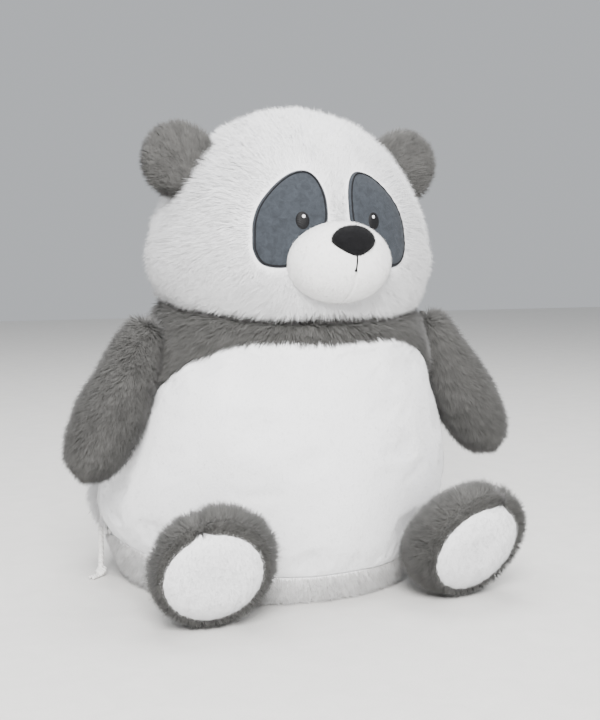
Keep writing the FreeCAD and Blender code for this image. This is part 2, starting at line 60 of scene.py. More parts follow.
@dataclass(frozen=True)
class Camera:
    """Where the viewer stands: azimuth and elevation in degrees, distance and target in metres."""

    azimuth: float = -23.0
    elevation: float = 5.4
    distance: float = 0.85
    target: tuple[float, float, float] = (0.0, -0.065, 0.159)
    sensor: float = 36.0
    lens: float = 61.8

    def place(self) -> bpy.types.Object:
        """Put the camera on its sphere round the target and make it the scene's camera.

        Returns:
            The camera object.
        """
        turn, rise = math.radians(self.azimuth), math.radians(self.elevation)
        outward = Vector((math.sin(turn) * math.cos(rise), -math.cos(turn) * math.cos(rise), math.sin(rise)))
        data = bpy.data.cameras.new("camera")
        data.sensor_fit, data.sensor_height, data.lens = "VERTICAL", self.sensor, self.lens
        camera = bpy.data.objects.new("camera", data)
        camera.location = Vector(self.target) + outward * self.distance
        camera.rotation_euler = outward.to_track_quat("Z", "Y").to_euler()
        bpy.context.scene.collection.objects.link(camera)
        bpy.context.scene.camera = camera
        return camera


@dataclass(frozen=True)
class SoftBox:
    """One soft studio light: place in metres, edge length in metres, power in watts and tint."""

    name: str
    place: tuple[float, float, float]
    edge: float
    power: float
    tint: tuple[float, float, float] = (1.0, 1.0, 1.0)

    def hang(self) -> None:
        """Add the light, aimed at the middle of the panda."""
        data = bpy.data.lights.new(self.name, "AREA")
        data.energy, data.size, data.color = self.power, self.edge, self.tint
        light = bpy.data.objects.new(self.name, data)
        light.location = self.place
        aim = Vector(self.place) - Vector((0.0, -0.04, 0.16))
        light.rotation_euler = aim.to_track_quat("Z", "Y").to_euler()
        bpy.context.scene.collection.objects.link(light)


class Studio:
    """Plain pale floor, pale surroundings and three soft lights."""

    boxes = (SoftBox("key_light", (-0.6, -1.6, 1.2), 0.8, 100.0, (1.0, 0.99, 0.98)),
             SoftBox("fill_light", (1.3, -0.9, 0.8), 1.2, 5.0),
             SoftBox("top_light", (0.1, 0.25, 1.7), 1.2, 36.0))

    def build(self) -> None:
        """Lay the floor, light the air and hang the lights."""
        reach = 3.0
        corners = [(-reach, -reach, 0.0), (reach, -reach, 0.0), (reach, reach, 0.0), (-reach, reach, 0.0)]
        mesh = bpy.data.meshes.new("floor")
        mesh.from_pydata(corners, [], [(0, 1, 2, 3)])
        floor = bpy.data.objects.new("floor", mesh)
        bpy.context.scene.collection.objects.link(floor)
        floor.data.materials.append(Plain("floor_paint", (0.72, 0.71, 0.69)).build())
        world = bpy.data.worlds.new("air")
        world.use_nodes = True
        world.node_tree.nodes["Background"].inputs["Color"].default_value = (0.86, 0.89, 0.93, 1.0)
        world.node_tree.nodes["Background"].inputs["Strength"].default_value = 0.62
        bpy.context.scene.world = world
        for box in self.boxes:
            box.hang()


# ---------------------------------------------------------------- finishes

class Effect(Enum):
    """The shared shader groups."""

    NAP = "short_nap"
    STREAKS = "pile_streaks"
    TWIST = "thread_twist"


def new_group(effect: Effect, sockets: dict[str, float], output: str) -> bpy.types.ShaderNodeTree:
    """Make an empty shader group with float inputs and one float output.

    Args:
        effect: which group this is.
        sockets: input names and their defaults.
        output: name of the output.

    Returns:
        The group, with its input and output nodes named "in" and "out".
    """
    tree = bpy.data.node_groups.new(effect.value, "ShaderNodeTree")
    for name, default in sockets.items():
        tree.interface.new_socket(name, in_out="INPUT", socket_type="NodeSocketFloat").default_value = default
    tree.interface.new_socket(output, in_out="OUTPUT", socket_type="NodeSocketFloat")
    tree.nodes.new("NodeGroupInput").name = "in"
    tree.nodes.new("NodeGroupOutput").name = "out"
    return tree


def nap_group() -> bpy.types.ShaderNodeTree:
    """Height of a short nap: fine noise, with a coarser noise added where fibres lie over.

    Returns:
        The group.
    """
    tree = new_group(Effect.NAP, {"Scale": 900.0, "Lay": 0.35}, "Height")
    place = tree.nodes.new("ShaderNodeTexCoord")
    fine, coarse = tree.nodes.new("ShaderNodeTexNoise"), tree.nodes.new("ShaderNodeTexNoise")
    fine.inputs["Detail"].default_value = 4.0
    coarse.inputs["Scale"].default_value = 90.0
    add = tree.nodes.new("ShaderNodeMath")
    add.operation = "MULTIPLY_ADD"
    links = tree.links
    for noise in (fine, coarse):
        links.new(place.outputs["Object"], noise.inputs["Vector"])
    links.new(tree.nodes["in"].outputs["Scale"], fine.inputs["Scale"])
    links.new(coarse.outputs["Fac"], add.inputs[0])
    links.new(tree.nodes["in"].outputs["Lay"], add.inputs[1])
    links.new(fine.outputs["Fac"], add.inputs[2])
    links.new(add.outputs[0], tree.nodes["out"].inputs["Height"])
    return tree


def streak_group() -> bpy.types.ShaderNodeTree:
    """Mask of streaks in pile: noise stretched by its own distortion, sharpened about its middle.

    Returns:
        The group.
    """
    tree = new_group(Effect.STREAKS, {"Scale": 45.0, "Contrast": 2.2}, "Mask")
    place, noise = tree.nodes.new("ShaderNodeTexCoord"), tree.nodes.new("ShaderNodeTexNoise")
    noise.inputs["Detail"].default_value = 3.0
    noise.inputs["Distortion"].default_value = 0.8
    centre, widen = tree.nodes.new("ShaderNodeMath"), tree.nodes.new("ShaderNodeMath")
    centre.operation, widen.operation, widen.use_clamp = "SUBTRACT", "MULTIPLY_ADD", True
    centre.inputs[1].default_value = 0.5
    widen.inputs[2].default_value = 0.5
    links = tree.links
    links.new(place.outputs["Object"], noise.inputs["Vector"])
    links.new(tree.nodes["in"].outputs["Scale"], noise.inputs["Scale"])
    links.new(noise.outputs["Fac"], centre.inputs[0])
    links.new(centre.outputs[0], widen.inputs[0])
    links.new(tree.nodes["in"].outputs["Contrast"], widen.inputs[1])
    links.new(widen.outputs[0], tree.nodes["out"].inputs["Mask"])
    return tree


def twist_group() -> bpy.types.ShaderNodeTree:
    """Height of twisted thread: diagonal waves a thread's width apart.

    Returns:
        The group.
    """
    tree = new_group(Effect.TWIST, {"Scale": 500.0}, "Height")
    place, wave = tree.nodes.new("ShaderNodeTexCoord"), tree.nodes.new("ShaderNodeTexWave")
    wave.bands_direction = "DIAGONAL"
    wave.inputs["Distortion"].default_value = 0.6
    tree.links.new(place.outputs["Object"], wave.inputs["Vector"])
    tree.links.new(tree.nodes["in"].outputs["Scale"], wave.inputs["Scale"])
    tree.links.new(wave.outputs["Fac"], tree.nodes["out"].inputs["Height"])
    return tree


GROUPS = {Effect.NAP: nap_group(), Effect.STREAKS: streak_group(), Effect.TWIST: twist_group()}
Colour = tuple[float, float, float]


@dataclass(frozen=True)
class Plain:
    """A cloth, thread or paint finish with a fine relief of its own.

    effect and scale choose the relief, depth is its height in metres, and mottle is how much darker
    the finish gets in its streaks.
    """

    name: str
    colour: Colour
    roughness: float = 0.9
    sheen: float = 0.0
    effect: Effect = Effect.NAP
    scale: float = 900.0
    depth: float = 0.0003
    mottle: float = 0.06
    streak_scale: float = 45.0

    def base(self) -> tuple[bpy.types.Material, bpy.types.Node]:
        """A new material with the constant values set.

        Returns:
            The material and its Principled node.
        """
        material = bpy.data.materials.new(self.name)
        material.use_nodes = True
        shader = material.node_tree.nodes["Principled BSDF"]
        shader.inputs["Roughness"].default_value = self.roughness
        shader.inputs["Specular IOR Level"].default_value = 0.25
        shader.inputs["Sheen Weight"].default_value = self.sheen
        shader.inputs["Sheen Roughness"].default_value = 0.5
        return material, shader

    def group(self, tree: bpy.types.NodeTree, effect: Effect, **values: float) -> bpy.types.Node:
        """Place a shared group in the tree with its own values.

        Args:
            tree: the material's node tree.
            effect: which group.
            values: its input values by name.

        Returns:
            The group node.
        """
        node = tree.nodes.new("ShaderNodeGroup")
        node.node_tree = GROUPS[effect]
        for name, value in values.items():
            node.inputs[name].default_value = value
        return node

    def tint(self, tree: bpy.types.NodeTree, mask: bpy.types.NodeSocket, low: Colour,
             high: Colour) -> bpy.types.NodeSocket:
        """Mix two colours by a mask.

        Args:
            tree: the material's node tree.
            mask: socket that runs from 0 to 1.
            low: colour at 0.
            high: colour at 1.

        Returns:
            The mixed colour's socket.
        """
        mix = tree.nodes.new("ShaderNodeMix")
        mix.data_type = "RGBA"
        mix.inputs["A"].default_value = (*low, 1.0)
        mix.inputs["B"].default_value = (*high, 1.0)
        tree.links.new(mask, mix.inputs["Factor"])
        return mix.outputs["Result"]

    def build(self) -> bpy.types.Material:
        """Make the material: streaked colour, and relief from the chosen group."""
        material, shader = self.base()
        tree = material.node_tree
        streaks = self.group(tree, Effect.STREAKS, Scale=self.streak_scale)
        dark = tuple(value * (1.0 - self.mottle) for value in self.colour)
        tinted = self.tint(tree, streaks.outputs["Mask"], dark, self.colour)
        tree.links.new(tinted, shader.inputs["Base Color"])
        relief = self.group(tree, self.effect, Scale=self.scale)
        bump = tree.nodes.new("ShaderNodeBump")
        bump.inputs["Distance"].default_value = self.depth
        tree.links.new(relief.outputs["Height"], bump.inputs["Height"])
        tree.links.new(bump.outputs["Normal"], shader.inputs["Normal"])
        return material


@dataclass(frozen=True)
class LongPile(Plain):
    """A pile of strands: root is the colour deep in the pile, darker than the tips as painted shade between
    the strands, and contrast spreads strand shades at random.
    """

    root: Colour = (0.5, 0.5, 0.5)
    contrast: float = 0.2

    def build(self) -> bpy.types.Material:
        """Make the material: root to tip colour, the darker root being painted shade deep in the pile, then
        darkened strand by strand and streak by streak at random.
        """
        material, shader = self.base()
        tree = material.node_tree
        along, shade = tree.nodes.new("ShaderNodeAttribute"), tree.nodes.new("ShaderNodeAttribute")
        along.attribute_name, shade.attribute_name = "along", "shade"
        # painted shade: the colour runs from the darker root at each strand's base to the tip colour,
        # standing in for shade deep in the pile
        body = self.tint(tree, along.outputs["Fac"], self.root, self.colour)
        low = 1.0 - self.contrast
        strand = self.tint(tree, shade.outputs["Fac"], (low, low, low), (1.0, 1.0, 1.0))
        streaks = self.group(tree, Effect.STREAKS, Scale=self.streak_scale)
        floor = 1.0 - self.mottle
        patchy = self.tint(tree, streaks.outputs["Mask"], (floor, floor, floor), (1.0, 1.0, 1.0))
        product = body
        for factor in (strand, patchy):
            mix = tree.nodes.new("ShaderNodeMix")
            mix.data_type, mix.blend_type = "RGBA", "MULTIPLY"
            mix.inputs["Factor"].default_value = 1.0
            tree.links.new(product, mix.inputs["A"])
            tree.links.new(factor, mix.inputs["B"])
            product = mix.outputs["Result"]
        tree.links.new(product, shader.inputs["Base Color"])
        return material


class Finishes:
    """Every finish of the panda, built once, with the record slot that each one stands for."""

    table = {
        # The root colours below are painted shade deep in the pile: each pile darkens from tip to root.
        "white_long_pile": LongPile("white_pile", (0.94, 0.945, 0.955), root=(0.87, 0.87, 0.885),
                                    contrast=0.08, mottle=0.03, sheen=0.2),
        "grey_long_pile": LongPile("grey_pile", (0.148, 0.146, 0.141), root=(0.086, 0.085, 0.081),
                                   contrast=0.28, mottle=0.2, sheen=0.12, streak_scale=42.0),
        "white_base_pile": LongPile("base_pile", (0.93, 0.93, 0.93), root=(0.70, 0.69, 0.68), contrast=0.2,
                                    mottle=0.03),
        "white_short_pile": Plain("short_white_plush", (0.92, 0.925, 0.94), sheen=0.25, depth=0.00028,
                                  scale=700.0, mottle=0.06, streak_scale=28.0),
        "muzzle_velour": Plain("white_velour", (0.90, 0.895, 0.89), sheen=0.3, depth=0.00025, mottle=0.03),
        "patch_suede": Plain("blue_grey_suede", (0.038, 0.044, 0.053), sheen=0.05, depth=0.0005, scale=620.0,
                             mottle=0.4, streak_scale=240.0),
        "dark_thread": Plain("dark_thread", (0.010, 0.010, 0.012), effect=Effect.TWIST, depth=0.0003),
        "black_thread": Plain("black_thread", (0.003, 0.003, 0.004), roughness=0.6, effect=Effect.TWIST,
                              depth=0.0001, scale=420.0, mottle=0.2),
        "white_thread": Plain("white_thread", (0.9, 0.9, 0.92), roughness=0.5, effect=Effect.TWIST,
                              depth=0.0001),
        "black_plush": Plain("black_plush", (0.003, 0.003, 0.004), sheen=0.03, depth=0.0003, mottle=0.4),
        "tab_cloth": Plain("grey_backing", (0.14, 0.137, 0.13), effect=Effect.TWIST, scale=420.0),
        "fibre_filling": Plain("fibre", (0.85, 0.85, 0.84), depth=0.0008, scale=300.0),
        "zip_tape": Plain("woven_tape", (0.82, 0.82, 0.81), effect=Effect.TWIST, scale=260.0, depth=0.0002),
        "zip_coil": Plain("nylon_coil", (0.84, 0.84, 0.83), roughness=0.35, depth=0.00005),
        "zip_slider": Plain("painted_slider", (0.80, 0.80, 0.79), roughness=0.3, depth=0.00005),
        "pull_cord": Plain("braided_cord", (0.90, 0.89, 0.87), effect=Effect.TWIST, scale=170.0, depth=0.0006,
                           mottle=0.12),
    }
    # The ground cloths under the pile are darker than the pile's tips: painted shade under the pile.
    skins = {"white_long_pile": Plain("white_pile_ground", (0.91, 0.91, 0.925), depth=0.0008, mottle=0.05),
             "grey_long_pile": Plain("grey_pile_ground", (0.085, 0.084, 0.080), depth=0.0008, mottle=0.3),
             "white_base_pile": Plain("base_pile_ground", (0.86, 0.86, 0.87), depth=0.0008, mottle=0.05)}

    def __init__(self) -> None:
        """Build every material once."""
        self.built = {slot: finish.build() for slot, finish in self.table.items()}
        self.ground = {slot: finish.build() for slot, finish in self.skins.items()}

    def dress(self, piece: bpy.types.Object, slot: str, ground: bool = False) -> bpy.types.Object:
        """Give a piece the material of its record slot.

        Args:
            piece: the object.
            slot: the record's material slot.
            ground: True for the cloth under a pile, whose darker colour is painted shade.

        Returns:
            The same object.
        """
        piece.data.materials.clear()
        piece.data.materials.append(self.ground.get(slot, self.built[slot]) if ground else self.built[slot])
        return piece or piece


# ---------------------------------------------------------------- shapes

def unit(vectors: Array) -> Array:
    """Each vector divided by its own length."""
    return vectors / np.maximum(np.linalg.norm(vectors, axis=-1, keepdims=True), 1e-12)


def smooth_rows(table: Array, place: Array) -> Array:
    """Cubic curve through the rows of a table.

    Each row is a knot one unit from the next, and the slope at a knot is half of the difference
    between its two neighbours.

    Args:
        table: the rows.
        place: position along the table, in rows.

    Returns:
        One interpolated row for each place.
    """
    last = len(table) - 1
    low = np.clip(np.floor(place).astype(int), 0, last - 1)
    part = (place - low)[..., None]
    before, start, end, after = (table[np.clip(low + step, 0, last)] for step in (-1, 0, 1, 2))
    slope_in, slope_out = (end - before) / 2.0, (after - start) / 2.0
    square, cube = part ** 2, part ** 3
    return ((2 * cube - 3 * square + 1) * start + (cube - 2 * square + part) * slope_in
            + (3 * square - 2 * cube) * end + (cube - square) * slope_out)


def ripple(points: Array, wavelength: float, seed: int) -> Array:
    """Smooth wandering value about zero: the mean of seven plane waves in seeded directions.

    Args:
        points: places in metres.
        wavelength: middle wavelength in metres.
        seed: seed of the directions and phases.

    Returns:
        One value for each point, mostly between -1 and 1.
    """
    rng = np.random.default_rng(seed)
    ways = unit(rng.normal(size=(7, 3))) * (2 * math.pi / wavelength) * rng.uniform(0.6, 1.6, (7, 1))
    phases = rng.uniform(0, 2 * math.pi, 7)
    return np.sin(points @ ways.T + phases).mean(axis=-1) * 1.6


@dataclass
class Skin:
    """A grid of points and outward normals. Columns run round the piece and rows run along it."""

    points: Array
    normals: Array = field(init=False)

    def __post_init__(self) -> None:
        """Work out the normals: the cross product of the steps along columns and along rows."""
        around, along = np.gradient(self.points, axis=1), np.gradient(self.points, axis=0)
        if self.is_closed():
            seam = (self.points[:, 1] - self.points[:, -2]) / 2.0
            around[:, 0], around[:, -1] = seam, seam
        self.normals = unit(np.cross(around, along))
        for edge, inner in ((0, 1), (-1, -2)):
            thin = np.ptp(self.points[edge], axis=0).max() < 2.5 * MM
            if thin:
                self.normals[edge] = unit(self.normals[inner].mean(axis=0))

    def is_closed(self) -> bool:
        """True if the first and last columns are the same points."""
        return bool(np.allclose(self.points[:, 0], self.points[:, -1], atol=1e-7))

    def raised(self, heights: Array) -> "Skin":
        """A skin moved along its normals by heights in metres."""
        return Skin(self.points + self.normals * heights[..., None])

    def moved(self, turn: Array, place: Array) -> "Skin":
        """A skin turned by a 3x3 matrix and then moved to a place."""
        return Skin(self.points @ turn.T + place)


def falling(points: Array) -> Array:
    """A comb field that points straight down."""
    return np.tile([0.0, 0.0, -1.0], (len(points), 1))


def globe(columns: int, rows: int, gap: float) -> Array:
    """A grid on the unit sphere from its south pole to its north.

    Args:
        columns: points round it.
        rows: points from pole to pole.
        gap: angle left open at each pole, in radians.

    Returns:
        The grid: sine of rise times cosine and sine of turn, and minus the cosine of rise.
    """
    turn, rise = np.meshgrid(np.linspace(0, 2 * math.pi, columns), np.linspace(gap, math.pi - gap, rows))
    return np.stack([np.sin(rise) * np.cos(turn), np.sin(rise) * np.sin(turn), -np.cos(rise)], axis=-1)


def put_mesh(name: str, points: Array, quads: Array | None,
             triangles: Array | None = None) -> bpy.types.Object:
    """Make a smooth-shaded object from arrays of corners.

    Args:
        name: the object's name.
        points: vertex places in metres.
        quads: four vertex numbers a face.
        triangles: three vertex numbers a face.

    Returns:
        The new object, linked to the scene.
    """
    groups = [faces for faces in (quads, triangles) if faces is not None and len(faces)]
    corners = np.concatenate([faces.ravel() for faces in groups]).astype(np.int32)
    counts = np.concatenate([np.full(len(faces), faces.shape[1]) for faces in groups])
    mesh = bpy.data.meshes.new(name)
    mesh.vertices.add(len(points))
    mesh.vertices.foreach_set("co", np.ascontiguousarray(points, dtype=np.float32).ravel())
    mesh.loops.add(len(corners))
    mesh.loops.foreach_set("vertex_index", corners)
    mesh.polygons.add(len(counts))
    mesh.polygons.foreach_set("loop_start", np.concatenate([[0], np.cumsum(counts)[:-1]]).astype(np.int32))
    mesh.polygons.foreach_set("use_smooth", np.ones(len(counts), dtype=bool))
    mesh.update(calc_edges=True)
    piece = bpy.data.objects.new(name, mesh)
    bpy.context.scene.collection.objects.link(piece)
    return piece


def skin_mesh(name: str, skin: Skin) -> bpy.types.Object:
    """Make an object from a skin. A closed skin gets a fan of triangles over each end.

    Args:
        name: the object's name.
        skin: the grid.

    Returns:
        The new object.
    """
    closed = skin.is_closed()
    points = skin.points[:, :-1] if closed else skin.points
    rows, columns = points.shape[:2]
    numbers = np.arange(rows * columns).reshape(rows, columns)
    right = np.roll(numbers, -1, axis=1) if closed else numbers[:, 1:]
    left = numbers if closed else numbers[:, :-1]
    quads = np.stack([left[:-1], right[:-1], right[1:], left[1:]], axis=-1).reshape(-1, 4)
    flat = points.reshape(-1, 3)
    fans = None
    if closed:
        flat = np.vstack([flat, points[0].mean(axis=0), points[-1].mean(axis=0)])
        low = np.stack([right[0], left[0], np.full(columns, rows * columns)], axis=-1)
        high = np.stack([left[-1], right[-1], np.full(columns, rows * columns + 1)], axis=-1)
        fans = np.vstack([low, high])
    return put_mesh(name, flat, quads, fans)


def thicken(piece: bpy.types.Object, thickness: float) -> None:
    """Give an open panel a wall on its inner side.

    Args:
        piece: the open panel.
        thickness: wall in metres.
    """
    wall = piece.modifiers.new("wall", "SOLIDIFY")
    wall.thickness, wall.offset = thickness, -1.0


def tube_mesh(name: str, path: Array, radius: Array | float, sides: int = 10) -> bpy.types.Object:
    """A closed round tube along a path.

    At each point two directions square to the path are made from its heading and a fixed guide, and
    a circle of the given radius is laid in them.

    Args:
        name: the object's name.
        path: points in metres.
        radius: one radius, or one for each point.
        sides: corners of the circle.

    Returns:
        The new object.
    """
    heading = unit(np.gradient(path, axis=0))
    guide = np.array([0.31, 0.17, 0.94])
    across = unit(np.cross(heading, guide))
    rise = np.cross(heading, across)
    turn = np.linspace(0, 2 * math.pi, sides + 1)
    radii = np.broadcast_to(np.asarray(radius, dtype=float), (len(path),))[:, None, None]
    ring = across[:, None] * np.cos(turn)[None, :, None] + rise[:, None] * np.sin(turn)[None, :, None]
    return skin_mesh(name, Skin(path[:, None] + ring * radii))


def loop_tube(name: str, path: Array, radius: float, sides: int = 8) -> bpy.types.Object:
    """A round tube along a closed path, joined to itself where the path meets its start.

    Args:
        name: the object's name.
        path: points in metres, the last next to the first.
        radius: radius in metres.
        sides: corners of the circle.

    Returns:
        The new object.
    """
    heading = unit(np.roll(path, -1, axis=0) - np.roll(path, 1, axis=0))
    across = unit(np.cross(heading, np.array([0.0, -1.0, 0.02])))
    rise = np.cross(heading, across)
    turn = np.linspace(0, 2 * math.pi, sides, endpoint=False)
    ring = across[:, None] * np.cos(turn)[None, :, None] + rise[:, None] * np.sin(turn)[None, :, None]
    points = path[:, None] + ring * radius
    numbers = np.arange(points.shape[0] * sides).reshape(points.shape[:2])
    ahead, beside = np.roll(numbers, -1, axis=0), np.roll(numbers, -1, axis=1)
    corner = np.roll(ahead, -1, axis=1)
    quads = np.stack([numbers, beside, corner, ahead], axis=-1).reshape(-1, 4)
    return put_mesh(name, points.reshape(-1, 3), quads)


def stuffed(skin: Skin, pressure: float, slack: float, cap: float) -> Skin:
    """A skin swelled by its stuffing in a cloth simulation without gravity.

    The edges of an open skin, or the two ends of a closed one, are held. The cloth is a little
    larger than its space by slack, so it gathers by what holds it. No point moves further than cap.

    Args:
        skin: the cover's grid.
        pressure: push of the stuffing.
        slack: how much larger the cloth is, as a share of its size.
        cap: furthest move in metres.
    """
    piece = skin_mesh("stuffing_run", skin)
    closed = skin.is_closed()
    grid = skin.points[:, :-1] if closed else skin.points
    held = np.zeros(grid.shape[:2], dtype=bool)
    held[:2], held[-2:] = True, True
    if not closed:
        held[:, :2], held[:, -2:] = True, True
    numbers = np.flatnonzero(held.ravel()).tolist()
    numbers += list(range(held.size, len(piece.data.vertices)))
    piece.vertex_groups.new(name="held").add(numbers, 1.0, "REPLACE")
    settings = piece.modifiers.new("cloth", "CLOTH").settings
    settings.use_pressure, settings.uniform_pressure_force = True, pressure
    settings.vertex_group_mass, settings.shrink_min = "held", -slack
    settings.effector_weights.gravity = 0.0
    scene = bpy.context.scene
    for step in range(1, 21):
        scene.frame_set(step)
    swelled = piece.evaluated_get(bpy.context.evaluated_depsgraph_get()).to_mesh()
    points = np.empty(len(swelled.vertices) * 3)
    swelled.vertices.foreach_get("co", points)
    bpy.data.objects.remove(piece)
    scene.frame_set(1)
    moved = points.reshape(-1, 3)[:held.size].reshape(grid.shape) - grid
    far = np.linalg.norm(moved, axis=-1, keepdims=True)
    log.info("stuffing moved the cloth by up to %.1f mm", far.max() / MM)
    points = grid + moved * np.minimum(1.0, cap / np.maximum(far, 1e-9))
    return Skin(np.concatenate([points, points[:, :1]], axis=1) if closed else points)


@dataclass(frozen=True)
class Stack:
    """Upright elliptical sections in millimetres: height, half width, half depth, centre, tilt."""

    rows: tuple[tuple[float, ...], ...]

    def at(self, turn: Array, place: Array) -> Array:
        """Points on the sections: half width times the sine of turn goes aside, and half depth times
        its cosine goes forward, leaning down by the tilt.

        Args:
            turn: angle round from the front, in radians.
            place: position along the rows.

        Returns:
            Points in metres.
        """
        turn, place = np.broadcast_arrays(turn, place)
        height, wide, deep, centre, tilt = np.moveaxis(smooth_rows(np.array(self.rows), place), -1, 0)
        ahead = -np.maximum(deep, 0.0) * np.cos(turn)
        lean = np.radians(tilt)
        return np.stack([np.maximum(wide, 0.0) * np.sin(turn), centre + ahead * np.cos(lean),
                         height + ahead * np.sin(lean)], axis=-1) * MM

    def crossing(self, turn: Array, test: Field, start: float, end: float) -> Array:
        """The position along the rows where test of the points rises through zero.

        Args:
            turn: angles round from the front, in radians.
            test: value of each point.
            start: first row to try.
            end: last row to try.

        Returns:
            One position for each turn.
        """
        places = np.linspace(start, end, 600)
        values = test(self.at(turn[None, :], places[:, None]))
        above = np.argmax(values >= 0, axis=0)
        above = np.clip(above, 1, len(places) - 1)
        column = np.arange(len(turn))
        low, high = values[above - 1, column], values[above, column]
        part = np.clip(-low / np.where(high == low, 1.0, high - low), 0, 1)
        return places[above - 1] + part * (places[1] - places[0])

    def facing(self, aside: Array, height: Array, start: float, end: float) -> tuple[Array, Array]:
        """Points on the front at a given aside and height in metres, with their normals.

        The row is found by stepping towards the height twelve times, with the turn taken from the
        aside over the half width.

        Args:
            aside: places across.
            height: places up.
            start: lowest row to use.
            end: highest row to use.

        Returns:
            The points and their outward unit normals.
        """
        place = np.full(np.shape(aside), (start + end) / 2.0)
        step = 0.01
        for _ in range(12):
            wide = smooth_rows(np.array(self.rows), place)[..., 1] * MM
            turn = np.arcsin(np.clip(aside / wide, -0.99, 0.99))
            here, next_up = self.at(turn, place), self.at(turn, place + step)
            rate = np.maximum((next_up - here)[..., 2] / step, 1e-4)
            place = np.clip(place + (height - here[..., 2]) / rate, start, end)
        beside = self.at(turn + step, place) - self.at(turn - step, place)
        above = self.at(turn, place + step) - self.at(turn, place - step)
        return self.at(turn, place), unit(np.cross(beside, above))


# ---------------------------------------------------------------- pile

@dataclass(frozen=True)
class Pile:
    """How a pile grows: strand length and root radius in metres, lean from upright in degrees, lock
    size in metres, how far tips draw together, and how much the comb wanders."""

    length: float
    radius: float
    lean: float
    lock: float
    pull: float = 0.55
    swirl: float = 0.5
    jitter: float = 0.16


def lock_numbers(points: Array, cell: float) -> Array:
    """Number the lock of hair that each point belongs to.

    One lock centre stands in each cube of a lattice, at a place hashed from the cube's numbers, and
    a point belongs to the nearest centre among its own cube and the 26 round it.

    Args:
        points: roots in metres.
        cell: cube edge in metres.

    Returns:
        A lock number for each point, counted from 0.
    """
    cube = np.floor(points / cell).astype(np.int64)
    best, owner = np.full(len(points), np.inf), np.zeros(len(points), dtype=np.int64)
    mixer = np.array([73856093, 19349663, 83492791])
    for step in np.ndindex(3, 3, 3):
        node = cube + (np.array(step) - 1)
        key = (node * mixer).sum(axis=1)
        hashed = np.sin(key[:, None] * np.array([0.0137, 0.0291, 0.0453]) % (2 * math.pi)) * 43758.5453
        centre = (node + (hashed - np.floor(hashed))) * cell
        far = np.linalg.norm(points - centre, axis=1)
        nearer = far < best
        best[nearer], owner[nearer] = far[nearer], key[nearer]
    return np.unique(owner, return_inverse=True)[1].ravel()


